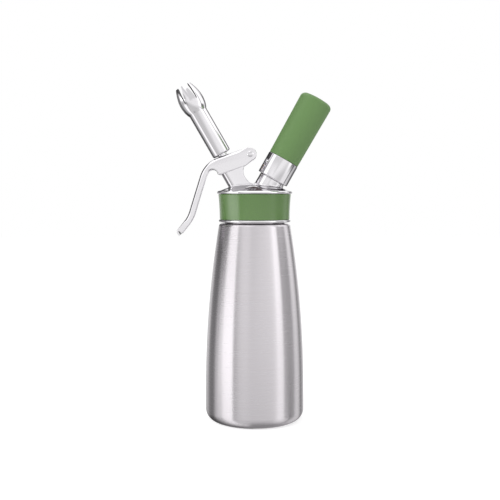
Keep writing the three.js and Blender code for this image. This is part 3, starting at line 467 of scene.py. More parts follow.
base_line = softened([
    (0, 0, 0),
    (foot_groove_radius - groove, 0, 0.8),
    (foot_groove_radius, foot_groove_depth, 0.8),
    (foot_groove_radius + groove, 0, 0.8),
    (bottle_radius - foot_round, 0, 0),
])
inner_start = -4  # the point of the side line at which the wall's inside begins
neck_line = softened([
    (*side_line[-1], 0),
    (shoulder_radius - 0.02, shoulder_height, visible_shoulder_round),
    (neck_radius, shoulder_height, 0.8),
    (neck_radius, neck_top, 0.7),
    (neck_radius - neck_wall, neck_top, 0.6),
    (neck_radius - neck_wall, shoulder_height - bottle_wall, 0.8),
    (shoulder_radius - bottle_wall, shoulder_height - bottle_wall, 1.5),
    (side_line[inner_start][0] - bottle_wall, side_line[inner_start][1], 0),
])
inner_side = side_line[inner_start - 1 :: -1] - (bottle_wall, 0)
inner_foot = arc((bottle_radius - foot_round, foot_round), foot_round - bottle_wall, 0, -90, 13)
inner_foot = inner_foot[inner_foot[:, 1] > bottle_floor + 0.1]
bottle_profile = np.concatenate([
    base_line,
    foot_line[1:],
    side_line[1:],
    neck_line[1:],
    inner_side,
    inner_foot,
    [(bottle_radius - foot_round, bottle_floor), (0, bottle_floor)],
])
bottle_mesh = shell_mesh([
    revolved(bottle_profile, 160),
    thread(neck_radius, neck_thread_depth, neck_pitch, neck_thread_start, neck_slices),
])
add_piece("bottle_body", bottle_mesh, brushed_steel, "bottle", "bottle")

# The head gasket: a moulded silicone ring with a pull tab, lying between the bottle's rim and
# the head's roof.
gasket_foot, gasket_top, gasket_inner, gasket_outer = 178.3, 180.5, 21.5, 26.2
tab_width, tab_reach, tab_hold, gasket_round = 7.0, 2.5, 0.5, 0.4
# moulded silicone: dull and soft, with a grain that is drawn 1.1 mm wide so that it shows
grey_silicone = finish(
    "moulded_grey_silicone", "#8C9088", ("#868A82", "#92968E"), 0.0, 0.6, (0.52, 0.68), 1.11, 0.01
)


def rectangle(inner, outer, low, high, rounds):
    """A closed section of four sides, softened by a round for each of its corners, from the lower
    inner one to the upper inner one."""
    corners = zip((inner, outer, outer, inner), (low, low, high, high), rounds)
    return softened([*corners], ring=True)


def rounded_plate(outline, half_width, rounding, steps=4, lengths=None):
    """A plate in the XZ plane, half_width to both sides of it, with its rim rounded: the rim's
    normal turns through t = 0 to 90 degrees in steps, and each step goes out by its length times
    cos t and back by its length times sin t. The outline runs anticlockwise in (x, z), and its
    rounding and its steps' lengths (a row for each step) may vary along it."""
    sharpest = 0.4  # keeps the rim from running out far at a sharp corner
    outline = np.asarray(outline, float)
    rounding = np.broadcast_to(np.asarray(rounding, float), (len(outline),))[:, None]
    edges = np.roll(outline, -1, 0) - outline
    edges /= np.linalg.norm(edges, axis=1)[:, None]
    normals = np.stack([edges[:, 1], -edges[:, 0]], 1)
    corner = normals + np.roll(normals, 1, 0)
    corner /= np.maximum((corner * corner).sum(1), sharpest)[:, None] / 2
    middle = (np.arange(steps) + 0.5) / steps * 90
    if lengths is None:
        lengths = np.ones((steps, 1))
    outward = np.cumsum(lengths * np.cos(np.radians(middle))[:, None], 0)
    backward = np.cumsum(lengths * np.sin(np.radians(middle))[:, None], 0) / outward[-1]
    outward = np.pad(outward / outward[-1], ((1, 0), (0, 0)))[:, :, None]
    backward = np.pad(backward, ((1, 0), (0, 0)))[:, :, None]
    flat = outline - corner * rounding * (1 - outward)
    drop = half_width - rounding * backward
    front = np.concatenate([flat[:, :, :1], -drop, flat[:, :, 1:]], 2)
    points = np.concatenate([front, front[::-1] * (1, -1, 1)])
    rings, count = points.shape[:2]
    caps = np.stack([np.arange(count), rings * count - 1 - np.arange(count)])
    return points.reshape(-1, 3), quads(rings, count, row_ring=False), caps


gasket_profile = rectangle(gasket_inner, gasket_outer, gasket_foot, gasket_top, [gasket_round] * 4)
tab_outline = rectangle(-tab_width / 2, tab_width / 2, gasket_foot, gasket_top, [gasket_round] * 4)
tab = rounded_plate(tab_outline, (tab_reach + tab_hold) / 2, gasket_round)
tab[0][:, 1] += gasket_inner + (tab_hold - tab_reach) / 2
gasket_mesh = shell_mesh([revolved(gasket_profile, 96, ring=True), tab])
add_piece("gasket_ring", gasket_mesh, grey_silicone, "gasket", "head_gasket")


# The head: one stainless steel casting, turned on its rim and polished. The valve column with the
# pivot ear and the inlet stub grow out of the dome with small cast fillets.
def carved(mesh, tools, operation="DIFFERENCE"):
    """The mesh with each tool mesh taken away from it or joined to it."""
    body = placed("carving", mesh)
    helpers = []
    for tool in tools:
        helper = placed("tool", tool)
        step = body.modifiers.new("cut", "BOOLEAN")
        step.operation, step.object, step.solver = operation, helper, "EXACT"
        helpers.append(helper)
    shape = body.evaluated_get(bpy.context.evaluated_depsgraph_get())
    result = bpy.data.meshes.new_from_object(shape)
    for helper in [*helpers, body]:
        bpy.data.objects.remove(helper)
    return result


def joined(*meshes):
    """One mesh of several, each kept as it is."""
    shape = bmesh.new()
    for mesh in meshes:
        shape.from_mesh(mesh)
    result = bpy.data.meshes.new("joined")
    shape.to_mesh(result)
    shape.free()
    return result


def rod(radius, low, high, sides=64, rim=0.0):
    """A round bar about Z, with its end corners rounded by rim."""
    return revolved(
        softened([(0, low, 0), (radius, low, rim), (radius, high, rim), (0, high, 0)]), sides
    )


# polished stainless steel: it mirrors the room almost sharply, with slow waves about 17 mm long
# that the polishing wheel leaves. Its edge tint is painted dark grey, a painted shade that darkens
# it where it turns away and draws dark outlines; on the casting this painted edge shade is paler
mirror_polish = ("#EBE9EC", ("#E7E5E8", "#EEECEF"), 1.0, 0.1, (0.07, 0.12), 16.67, 0.004, 2.0)
painted_edge_shade, faint_painted_edge_shade = [{"Specular Tint": grey(tint)} for tint in (0.1, 0.6)]
cast_steel = finish("polished_cast_steel", *mirror_polish, faint_painted_edge_shade)

valve_place = Matrix.Translation((0, 0, 172.6)) @ Matrix.Rotation(math.radians(-30), 4, "Y")
inlet_place = Matrix.Translation((0, 0, 173.0)) @ Matrix.Rotation(math.radians(29.5), 4, "Y")
relief_place = Matrix.Translation((0, 20, 192.2)) @ Matrix.Rotation(math.radians(-20), 4, "X")
head_bore, lip_foot, lip_top = 26.6, 163.3, 165.2
rim_foot, rim_top, roof = 186.8, 189.0, 180.8
skirt_radius, lip_radius, rim_radius, rim_bevel = 28.0, 29.8, 31.2, 0.8
dome_foot, dome_shoulder, dome_top, ring_overlap = (23.0, 191.7), (14.0, 193.5), 194.0, 2
column_half, column_left, column_foot, column_top = 6.0, 9.0, 12.0, 44.75
pivot_reach, pivot_level, ear_radius = 20.4, 42.5, 4.1
throat_radius, throat_offset = 10.2, 3.1
stub_radius, stub_foot, stub_shoulder = 11.1, 18.0, 29.9
stub_thread_radius, stub_top, stub_thread_depth, stub_pitch = 10.7, 42.2, 0.8, 2.5
stub_thread_start, stub_slices, collar_foot = stub_top - stub_pitch * screw_reach, 60, 24
spring_room, relief_bore, relief_face = 4.9, 3.2, 6.0
port_radius, guide_bore = 4.2, 4.6
passage_radius, ball_room, insert_bore = 1.5, 2.9, 7.0
pin_radius, seat_gap = 1.9, 0.3  # the gap stands between faces that nearly touch

ring_profile = softened([
    (head_bore, lip_foot, 0.4),
    (lip_radius, lip_foot, 0.8),
    (lip_radius, lip_top, 0.8),
    (skirt_radius, lip_top, 0.2),
    (skirt_radius, rim_foot, 0.2),
    (rim_radius, rim_foot, 0.5),
    (rim_radius, rim_top - rim_bevel, 0.5),
    (rim_radius - rim_bevel, rim_top, 0.5),
    (dome_foot[0] + ring_overlap, rim_top + 1.3, 0),
    (dome_foot[0] + ring_overlap, roof + ring_overlap, 0),
    (21, roof, 0),
    (head_bore, roof, 0.3),
], ring=True)
head_ring = [
    revolved(ring_profile, 160, ring=True),
    thread(
        head_bore, -neck_thread_depth, neck_pitch, neck_thread_start + neck_pitch / 2, neck_slices
    ),
]
dome = revolved(
    softened([
        (0, roof + 4, 0),
        (28.6, rim_top - 1.6, 0),
        (29.3, rim_top + 0.03, 0),
        (*dome_foot, 36),
        (*dome_shoulder, 14),
        (6, dome_top - 0.1, 8),
        (0, dome_top, 0),
    ], 8),
    160,
)
throat = (pivot_reach - throat_offset, pivot_level - ear_radius - throat_radius)
column_outline = np.concatenate([
    [(column_half - column_left, column_foot)],
    arc(throat, throat_radius, 296, 90, 24),
    arc((pivot_reach, pivot_level), ear_radius, -90, 135, 20),
    [(column_half - column_left, column_top)],
])
column = rounded_plate(column_outline, column_half, 0.7)
column_back = rod(column_half, column_foot, column_top)
column_back[0][:, 0] += column_half - column_left
stub = rod(stub_radius, stub_foot, stub_shoulder, 96, 0.5)
valve_boss = rod(8.0, 4.0, 18.5, 64, 1.0)
inlet_boss = rod(6.0, 11.5, 20.0, 64, 0.8)
vault = revolved(
    [(0, 186.5), (19.0, 183.5), (21.0, roof + 0.3), (26.2, roof + 0.3), (27.0, 184.0),
     (24.0, 188.5), (0, 190.5)], 160
)  # fmt: skip
crown_mesh = carved(
    shell_mesh([dome]),
    [
        shell_mesh([shell], place)
        for shell, place in (
            (column, valve_place),
            (column_back, valve_place),
            (stub, inlet_place),
            (vault, None),
            (valve_boss, valve_place),
            (inlet_boss, inlet_place),
        )
    ],
    "UNION",
)
# remeshed and smoothed, so that cast fillets run where the forms meet
voxel, smoothing, smoothing_rounds = 0.42, 0.6, 7
bpy.context.view_layer.update()
crown = placed("crown", crown_mesh)
remesh = crown.modifiers.new("voxels", "REMESH")
remesh.mode, remesh.voxel_size = "VOXEL", voxel / 1000
smooth = crown.modifiers.new("smooth", "SMOOTH")
smooth.factor, smooth.iterations = smoothing, smoothing_rounds
bpy.context.view_layer.update()
crown_shape = crown.evaluated_get(bpy.context.evaluated_depsgraph_get())
crown_mesh = bpy.data.meshes.new_from_object(crown_shape)
bpy.data.objects.remove(crown)
lever_tilt = 11  # of the lever's web over the valve at rest
pivot_place = (
    valve_place
    @ Matrix.Translation((pivot_reach, 0, pivot_level))
    @ Matrix.Rotation(math.radians(lever_tilt), 4, "Y")
)
pin_side = Matrix.Rotation(math.pi / 2, 4, "X")
crown_mesh = carved(
    crown_mesh,
    [
        shell_mesh([rod(radius, low, high, sides)], place)
        for radius, low, high, sides, place in (
            (port_radius, 3, 9, 48, valve_place),
            (guide_bore, 8.3, 21.5, 48, valve_place),
            (spring_room, 21, column_top + 3, 48, valve_place),
            (passage_radius, 10, 15.5, 24, inlet_place),
            (ball_room, 14.8, 23, 40, inlet_place),
            (insert_bore + 0.15, 22.3, stub_top + 3, 64, inlet_place),
            (pin_radius + seat_gap, -9, 9, 32, pivot_place @ pin_side),
            (relief_bore, -3, 3, 32, relief_place),
            (relief_face, 0, 4, 48, relief_place),
        )
    ],
)
stub_collar = [
    revolved(
        rectangle(insert_bore, stub_thread_radius, collar_foot, stub_top, (0, 0, 0.4, 0.3)),
        96,
        ring=True,
    ),
    thread(stub_thread_radius, stub_thread_depth, stub_pitch, stub_thread_start, stub_slices),
]
head_mesh = joined(crown_mesh, shell_mesh(head_ring), shell_mesh(stub_collar, inlet_place))
add_piece("head_casting", head_mesh, cast_steel, "head", "head", 30)

# The grip band: a silicone sleeve moulded to the skirt and stretched over it, a little hollow on
# its side.
band_foot, band_top, band_inner = 165.5, 186.5, 28.3
band_foot_radius, band_top_radius, band_hollow = 29.0, 30.2, 0.25
# silicone from a polished mould: deep green under soft, bright reflections, with a skin grain
# that is drawn 0.77 mm wide so that it shows
glossy_silicone = finish(
    "polish_moulded_green_silicone", "#557B38", ("#537936", "#577D3A"), 0.0, 0.2, (0.18, 0.24),
    0.769, 0.002, more={"Specular IOR Level": 1.0},
)
rise = np.linspace(0, 1, 24)
band_slant, band_height = band_top_radius - band_foot_radius, band_top - band_foot
hollow_line = band_hollow * 4 * rise * (1 - rise)
band_side = np.column_stack(
    [band_foot_radius + band_slant * rise - hollow_line, band_foot + band_height * rise]
)
band_corners = [(*p, 0) for p in band_side[1:-1]]
band_profile = softened([
    (band_inner, band_foot, 0),
    (*band_side[0], 0.25),
    *band_corners,
    (*band_side[-1], 0.4),
    (band_inner, band_top, 0),
], ring=True)
band_mesh = shell_mesh([revolved(band_profile, 160, ring=True)])
add_piece("head_band", band_mesh, glossy_silicone, "head", "grip_band")


# The lever: 1.5 mm stainless sheet, blanked, pressed into a channel and tumbled to a satin
# finish. Its web runs over the valve and on as the handle's back, to a small curled lip.
def traced(start, heading, moves, inset, step=4.0):
    """Follows straight runs (length, 0) and arcs (radius, turn in degrees) from a start point,
    and returns the points that lie to the left of the path by the inset."""
    straight_step = 3  # mm

    def leftward(angles):
        return np.stack([-np.sin(angles), np.cos(angles)], -1)

    spot, angle = np.array(start, float), math.radians(heading)
    runs = [[spot + leftward(angle) * inset]]
    for size, turn in moves:
        pieces = math.ceil(abs(turn) / step) if turn else max(1, round(size / straight_step))
        share = np.arange(1, pieces + 1) / pieces
        angles = angle + math.radians(turn) * share
        if turn:
            reach = math.copysign(size, turn)
            path = spot + (leftward(angle) - leftward(angles)) * reach
        else:
            path = spot + np.outer(share * size, (math.cos(angle), math.sin(angle)))
        runs.append(path + leftward(angles) * inset)
        spot, angle = path[-1], angles[-1]
    return np.concatenate(runs)


def moved(mesh, place):
    """The mesh, moved by a place in millimetres."""
    metres = place.copy()
    metres.translation = place.translation / 1000
    mesh.transform(metres)
    return mesh


# pressed and tumbled steel sheet: pale and silky, with marks of the tumbling about 2 mm wide; its
# edge tint is painted dark grey, a painted shade that draws dark outlines where it turns away
satin_steel = finish(
    "satin_pressed_steel", "#EBE9EC", ("#E9E7EA", "#EDEBEE"), 1.0, 0.16, (0.13, 0.19), 2.0, 0.001,
    more={"Specular Tint": grey(0.2)},
)

web_top, sheet_thickness = 6.0, 1.5
cheek_gap = column_half + seat_gap
cheek_out = cheek_gap + sheet_thickness
handle_moves = [(26.1, 0), (23.8, 54), (30.8, 0), (23.6, -21), (9.0, 0)]
lip_moves = [(2.4, 72), (2.4, 0)]
handle_depth, boss_radius = 4.9, 5.2
lobe_centre, lobe_round = (-28.6, -6.3), 2.0
notch_centre, notch_radius = (-35.2, -6.2), 4.35
cheek_corner = (-6.9, -7.55)
start = (0, web_top)
web_line = traced(start, 180, handle_moves + lip_moves, 0)
web_inner = traced(start, 180, handle_moves + lip_moves, sheet_thickness)
tail_count = len(traced(start, 180, handle_moves, 0))
grip_inner = traced(start, 180, handle_moves, handle_depth)
grip_inner = grip_inner[grip_inner[:, 0] < notch_centre[0] - notch_radius / 2][::-1]
boss_line = arc((0, 0), boss_radius, -90, 81, 20)
notch_line = arc(notch_centre, notch_radius, 121.5, -13.5, 16)
lobe_line = arc(lobe_centre, lobe_round, 207, 270, 8)
cheek_foot = [(*lobe_centre, 0), (*cheek_corner, 3), (0, -boss_radius, 0)]
throat_side = softened(cheek_foot, 4)[1:-1]
lever_outline = np.concatenate([
    boss_line,
    web_line,
    web_inner[: tail_count - 1 : -1],
    grip_inner,
    notch_line,
    lobe_line,
    throat_side,
])
# the web's edge: a slanted face of 34 degrees that mirrors the softbox, then a wide round that
# mirrors the dark side of the room
grip_edge, boss_edge, web_edge, notch_edge, throat_edge = 0.3, 0.6, 2.2, 1.2, 0.15
web_rim = np.array([0.4, 0.4, 0.4, 6, 2, 3, 3, 3, 3, 3])
rim_steps = len(web_rim)
web_from, web_to = len(boss_line), len(boss_line) + tail_count
fade_in, fade_out, along_web = 3, 4, np.arange(tail_count)
web_share = np.zeros(len(lever_outline))
web_share[web_from:web_to] = np.clip(
    np.minimum(along_web / fade_in, along_web[::-1] / fade_out), 0, 1
)
edge_round = grip_edge + (web_edge - grip_edge) * web_share
edge_round[: len(boss_line)] = boss_edge
edge_round[-len(throat_side) - len(notch_line) - len(lobe_line) : -len(throat_side)] = notch_edge
edge_round[-len(throat_side) :] = throat_edge
rim_lengths = 1 + (web_rim - 1)[:, None] * web_share
lever_solid = shell_mesh(
    [rounded_plate(lever_outline, cheek_out, edge_round, rim_steps, rim_lengths)]
)
under = traced(start, 180, handle_moves, sheet_thickness)
far = 90.0
hollow_outline = np.concatenate([
    under,
    [under[-1] + (under[-1] - web_line[tail_count - 1]) * 6],
    [(-20, -far), (far, -far), (far, far), (0, far)],
])
hollow = rounded_plate(hollow_outline, cheek_gap, 1.5, 5)
slot_half, slot_from, slot_to, slot_deep, slot_middle = 4.25, 19.9, 22.4, 4, 5
slot_ends = arc((-slot_from, 0), slot_half, -90, 90, 16), arc((-slot_to, 0), slot_half, 90, 270, 16)
slot_line = np.concatenate(slot_ends)
slot_points, *slot_faces = rounded_plate(slot_line, slot_deep, 0)
slot_points = np.stack([slot_points[:, 0], slot_points[:, 2], slot_middle - slot_points[:, 1]], 1)
lever_mesh = carved(
    lever_solid,
    [
        shell_mesh([hollow]),
        shell_mesh([(slot_points, *slot_faces)]),
        shell_mesh([rod(pin_radius + seat_gap, -12, 12, 32)], pin_side),
    ],
)
lever_mesh = moved(lever_mesh, pivot_place)
add_piece("squeeze_lever", lever_mesh, satin_steel, "lever", "lever", 25)

# The pivot pin: turned steel with a low domed head in front, held behind by a sprung clip in a
# groove.
pin_head, pin_neck, clip_radius = 2.7, 1.4, 3.4
clip_near, clip_far, pin_end = cheek_out + seat_gap, cheek_out + 1.0, cheek_out + 2.5
pin_profile = softened([
    (0, -cheek_out - 1.3, 0),
    (pin_head * 0.6, -cheek_out - 1.1, 3.0),
    (pin_head, -cheek_out - 0.5, 0.2),
    (pin_head, -clip_near, 0.1),
    (pin_radius, -clip_near, 0),
    (pin_radius, cheek_out, 0.1),
    (pin_neck, cheek_out, 0),
    (pin_neck, clip_far + seat_gap, 0),
    (pin_radius, clip_far + seat_gap, 0.1),
    (pin_radius, pin_end, 0.3),
    (0, pin_end, 0),
])
# its edge tint is the dark painted edge shade, which draws dark outlines where it turns away
polished_steel = finish("polished_stainless_steel", *mirror_polish, painted_edge_shade)
pin_mesh = shell_mesh([revolved(pin_profile, 48)], pivot_place @ pin_side.inverted())
add_piece("lever_pin", pin_mesh, polished_steel, "head", "pivot_pin")
# drawn spring steel: darker and duller than the polished pieces, mottled by its oil film
spring_steel = finish(
    "drawn_spring_steel", "#B4B3B4", ("#AEADAE", "#BAB9BA"), 1.0, 0.3, (0.26, 0.34), 1.43, 0.004
)
clip_inner, inner_mouth = pin_neck + 0.15, 62.0
mouth = math.degrees(math.asin(clip_inner / clip_radius)) + 4
clip_outline = np.concatenate([
    arc((0, 0), clip_radius, mouth, 360 - mouth, 40),
    arc((0, 0), clip_inner, 360 - inner_mouth, inner_mouth, 30),
])
clip = rounded_plate(clip_outline, (clip_far - clip_near) / 2, 0.12, 2)
clip[0][:, 1] += (clip_near + clip_far) / 2
clip_mesh = shell_mesh([clip], pivot_place)
add_piece("pin_clip", clip_mesh, spring_steel, "head", "pivot_clip")

# The valve stem: turned stainless steel, with a flange that the lever presses, a thread for the
# tip, and a spigot for the seat seal. It is drilled from above to a cross hole.
seat_level, spigot_radius, stem_radius, stem_neck = 4.0, 2.4, 3.1, 3.75
flange_radius, flange_foot, flange_top = 5.6, 48.01, 49.71
tip_foot, stem_top, stem_bore, tip_core = 54.6, 64.6, 1.4, 3.6
tip_thread_depth, tip_pitch, tip_slices = 0.7, 2.0, 48
stem_thread_start = stem_top - tip_pitch * screw_reach
spigot_foot, drill_end, collar_top = seat_level - 7, seat_level + 2.2, tip_foot + 1.4
stem_ring_level, stem_ring_radius, ring_half, groove_half = 13.0, 2.75, 0.5, 0.65
stem_profile = softened([
    (0, spigot_foot, 0),
    (spigot_radius, spigot_foot, 0.3),
    (spigot_radius, seat_level, 0),
    (stem_radius, seat_level, 0.2),
    (stem_radius, stem_ring_level - groove_half, 0.1),
    (stem_ring_radius - groove_half, stem_ring_level - groove_half, 0),
    (stem_ring_radius - groove_half, stem_ring_level + groove_half, 0),
    (stem_radius, stem_ring_level + groove_half, 0.1),
    (stem_radius, flange_foot, 0.2),
    (flange_radius, flange_foot, 0.3),
    (flange_radius, flange_top, 0.4),
    (stem_neck, flange_top, 0.3),
    (stem_neck, tip_foot, 0.1),
    (tip_core + tip_thread_depth, tip_foot + 0.15, 0.1),
    (tip_core + tip_thread_depth, collar_top, 0.1),
    (tip_core, collar_top, 0),
    (tip_core, stem_top, 0.3),
    (stem_bore, stem_top, 0.2),
    (stem_bore, drill_end, 0),
    (0, drill_end, 0),
])
stem_mesh = shell_mesh([
    revolved(stem_profile, 64),
    thread(tip_core, tip_thread_depth, tip_pitch, stem_thread_start, tip_slices),
], valve_place)
add_piece("valve_spindle", stem_mesh, polished_steel, "valve", "valve_stem")

# The seals of the valve: moulded rubber O-rings and a silicone seat seal, which a brass nut
# holds on the spigot.
seat_bore, seat_rim, seat_foot, seat_top = 2.7, 5.2, 1.2, 3.7
# moulded rubber: nearly black and dull, with a fine bloom
black_rubber = finish(
    "moulded_black_rubber", "#26262A", ("#232326", "#2A2A2E"), 0.0, 0.55, (0.5, 0.62), 1.11, 0.006
)
# turned brass: warm yellow, with soft tool marks across it
brass = finish(
    "turned_brass", "#C2A25C", ("#BC9B55", "#C8A963"), 1.0, 0.28, (0.22, 0.34), (3.33, 3.33, 1.11),
    0.004,
)
for name, radius, level, body, cad in (
    ("stem_seal_ring", stem_ring_radius, stem_ring_level, "valve", "stem_o_ring"),
    ("tip_seal_ring", 5.0, tip_foot + 0.85, "tip_ring", "tip_o_ring"),
):
    section = arc((radius, level), ring_half, 0, 345, 23)
    ring_mesh = shell_mesh([revolved(section, 64, ring=True)], valve_place)
    add_piece(name, ring_mesh, black_rubber, body, cad)
seat_seal = rectangle(seat_bore, seat_rim, seat_foot, seat_top, (0.1, 0.4, 0.4, 0.1))
seat_mesh = shell_mesh([revolved(seat_seal, 64, ring=True)], valve_place)
add_piece("seat_sealing_disc", seat_mesh, grey_silicone, "valve", "seat_seal")


def hexagon(flats, low, high, bore, chamfer=0.6, sides=120):
    """A hexagon nut about Z with a bore. Its side lies at flats / 2 / cos(a), a from the middle of
    each flat, and a cone of 30 degrees takes its corners off at both ends."""
    angles = np.arange(sides)[:, None] * 2 * math.pi / sides
    off = np.mod(angles, math.pi / 3) - math.pi / 6
    side = flats / 2 / np.cos(off)
    face = np.full((sides, 1), flats / 2 - 0.1)
    drop = np.maximum(side - face, 0) * chamfer
    bores, lows, highs = [np.full((sides, 1), size) for size in (bore, low, high)]
    radii = np.hstack([bores, face, side, side, face, bores])
    heights = np.hstack([lows, lows, low + drop, high - drop, highs, highs])
    return about_z(radii, angles, heights), quads(sides, radii.shape[1])


nut_flats, nut_foot, nut_top = 8.0, -1.7, 0.9
nut_mesh = shell_mesh([hexagon(nut_flats, nut_foot, nut_top, seat_bore)], valve_place)
add_piece("seal_nut", nut_mesh, brass, "valve", "stem_nut")

# The guide bush: turned acetal, pressed into the column to guide the stem. The return spring
# stands on its flange.
guide_bore_radius, guide_radius, guide_flange = 3.4, 4.3, 4.6
guide_foot, guide_shoulder, guide_top = 8.3, 20.3, 21.3
# turned acetal: milky white and waxy, with turning marks drawn 0.8 mm apart so that they show
acetal = finish(
    "turned_white_acetal", "#E4E2DA", ("#E1DFD7", "#E7E5DE"), 0.0, 0.4, (0.36, 0.46),
    (5.0, 5.0, 0.833), 0.003,
)
guide_profile = softened([
    (guide_bore_radius, guide_foot, 0.2),
    (guide_radius, guide_foot, 0.3),
    (guide_radius, guide_shoulder, 0),
    (guide_flange, guide_shoulder, 0.1),
    (guide_flange, guide_top, 0.2),
    (guide_bore_radius, guide_top, 0.2),
], ring=True)
guide_mesh = shell_mesh([revolved(guide_profile, 64, ring=True)], valve_place)
add_piece("guide_bush", guide_mesh, acetal, "head", "valve_guide")


# The return spring: hard-drawn steel wire of 1 mm, wound in seven turns. On the dispenser it
# shortens by the valve's travel when the lever is squeezed; this mesh is made at its rest length.
def coil(radius, wire, turns, low, high, slices=28, sides=10):
    """A spring: a round wire section carried up a helix, with its ends closed flat. Point =
    (r cos a, r sin a, low + rise a), and the section stands square to the helix."""
    count = slices * turns + 1
    angle = np.linspace(0, 2 * math.pi * turns, count)
    rise = high - low - 2 * wire
    slope = math.atan2(rise, 2 * math.pi * radius * turns)
    out = about_z(1, angle, 0)
    up = about_z(math.sin(slope), angle - math.pi / 2, math.cos(slope))
    middle = about_z(radius, angle, low + wire + rise * angle / angle[-1])
    around = -np.arange(sides) * 2 * math.pi / sides
    points = (
        middle[:, None]
        + wire * np.cos(around)[None, :, None] * out[:, None]
        + wire * np.sin(around)[None, :, None] * up[:, None]
    ).reshape(-1, 3)
    first_end = np.arange(sides)
    ends = np.stack([first_end[::-1], first_end + (count - 1) * sides])
    return points, quads(count, sides, row_ring=False, flipped=True), ends


spring_foot, spring_top, valve_travel = 21.6, 47.71, 2.961
spring_radius, spring_wire, spring_turns = 4.1, 0.5, 7
spring_coil = coil(spring_radius, spring_wire, spring_turns, spring_foot, spring_top)
spring_mesh = shell_mesh([spring_coil], valve_place)
spring = add_piece(
    "valve_spring", spring_mesh, spring_steel, "head", "return_spring"
)
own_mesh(spring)

# The decorator tip: drawn and polished stainless steel tube, screwed on the stem, with its mouth
# flared, drawn in and slit into six petals.
tip_radius, tip_wall, tip_hub = 7.9, 1.0, 11.0
kink, belly, mouth_level = 94.2, 104.2, 119.2
tip_thread_bore, ring_room, thread_foot = 4.65, 5.8, 56.3
tip_entry = tip_thread_bore + 0.1

# drawn steel tube: a sharp mirror outside, where it is polished, and duller inside and in the
# slits, where it is not; there its colour is also painted dark grey, a painted shade that draws the
# inside and the slits dark, and its edge tint is the dark painted edge shade. A face counts as
# inside where its normal doesn't lead away from the tip's axis
painted_inside_shade, dull_roughness, cover_from, cover_to = "#5E5C5E", 0.45, 0.3, -0.3
tube_steel = finish("polished_drawn_steel_tube", *mirror_polish, painted_edge_shade)
tree = tube_steel.node_tree
shader = tree.nodes["Principled BSDF"]
surface = node(tree, "TexCoord").outputs
tube_foot = tuple(valve_place.translation / 1000)
tube_axis = tuple(valve_place.to_3x3() @ Vector((0, 0, 1)))
from_foot = node(
    tree, "VectorMath", {0: surface["Object"], 1: tube_foot}, operation="SUBTRACT"
).outputs["Vector"]
tube_level = node(
    tree, "VectorMath", {0: from_foot, 1: tube_axis}, operation="DOT_PRODUCT"
).outputs["Value"]
on_axis = node(
    tree, "VectorMath", {0: tube_axis, "Scale": tube_level}, operation="SCALE"
).outputs["Vector"]
spoke = node(tree, "VectorMath", {0: from_foot, 1: on_axis}, operation="SUBTRACT").outputs["Vector"]
spoke = node(tree, "VectorMath", {0: spoke}, operation="NORMALIZE").outputs["Vector"]
outwardness = node(
    tree, "VectorMath", {0: spoke, 1: surface["Normal"]}, operation="DOT_PRODUCT"
).outputs["Value"]
inside = node(
    tree, "MapRange", {"Value": outwardness, "From Min": cover_from, "From Max": cover_to}
).outputs["Result"]
# inside and in the slits the colour turns to the painted dark shade, and the roughness to the
# duller value
for socket, dull_and_shaded in (
    ("Base Color", linear(painted_inside_shade)),
    ("Roughness", grey(dull_roughness)),
):
    bright = shader.inputs[socket].links[0].from_socket
    blend = node(tree, "Mix", {0: inside, 6: bright, 7: dull_and_shaded}, data_type="RGBA")
    tree.links.new(blend.outputs[2], shader.inputs[socket])


def smooth_line(knots, steps):
    """A Catmull-Rom curve through knots: each span blends its four nearest knots by cubics."""
    knots = np.array(knots, float)
    ends = np.concatenate([[2 * knots[0] - knots[1]], knots, [2 * knots[-1] - knots[-2]]])
    t = np.linspace(0, 1, steps, endpoint=False)[:, None]
    a, b, c, d = [part[:, None] for part in (ends[:-3], ends[1:-2], ends[2:-1], ends[3:])]
    square, cube = 2 * a - 5 * b + 4 * c - d, 3 * b - a - 3 * c + d
    spans = (2 * b + (c - a) * t + square * t**2 + cube * t**3) / 2
    return np.concatenate([spans.reshape(-1, 2), knots[-1:]])


flare = smooth_line([
    (tip_radius, kink),
    (9.15, 97.0),
    (10.0, 100.3),
    (10.4, 104.5),
    (10.2, 108.3),
    (9.55, 111.6),
    (8.5, 115.3),
    (7.0, mouth_level),
], 5)
petal_extra, extra_over = 0.6, 8  # the mouth's wall is thicker, where it was drawn in
petal_wall = petal_extra * np.clip((flare[:, 1] - kink) / extra_over, 0, 1)
flare_inner = np.stack([flare[:, 0] - tip_wall - petal_wall, flare[:, 1]], 1)[::-1]
tip_profile = np.concatenate([
    softened([
        (ring_room, tip_foot + seat_gap, 0),
        (tip_entry, tip_foot + seat_gap, 0),
        (tip_entry, tip_foot, 0.1),
        (tip_radius, tip_foot, 1.2),
        (*flare[0], 0),
    ]),
    flare[1:],
    flare_inner,
    softened([
        (*flare_inner[-1], 0),
        (tip_radius - tip_wall, tip_foot + tip_hub + tip_wall, 0.4),
        (tip_thread_bore, tip_foot + tip_hub, 0.3),
        (tip_thread_bore, thread_foot, 0),
        (ring_room, thread_foot, 0),
    ])[1:],
])
tip_mesh = shell_mesh([revolved(tip_profile, 144, ring=True)])
slot_foot, slot_foot_half, slot_top_half, past, slit_reach = belly + 1.0, 0.5, 1.9, 2.0, 12.5
slit = np.concatenate([
    arc((0, slot_foot), slot_foot_half, 180, 360, 10),
    [(slot_top_half, mouth_level), (slot_top_half, mouth_level + past)],
    [(-slot_top_half, mouth_level + past), (-slot_top_half, mouth_level)],
])
# each plate cuts two slits, on opposite sides
slit_plate = rounded_plate(slit, slit_reach, 0)
slit_turns = [Matrix.Rotation(math.radians(angle), 4, "Z") for angle in (30, 90, 150)]
tip_mesh = carved(tip_mesh, [shell_mesh([slit_plate], turn) for turn in slit_turns])
tip_thread_start = stem_thread_start - tip_pitch / 2
tip_thread = thread(tip_thread_bore, -tip_thread_depth, tip_pitch, tip_thread_start, tip_slices)
tip_mesh = moved(joined(tip_mesh, shell_mesh([tip_thread])), valve_place)
add_piece("petal_tip", tip_mesh, tube_steel, "tip", "decorator_tip", 30)

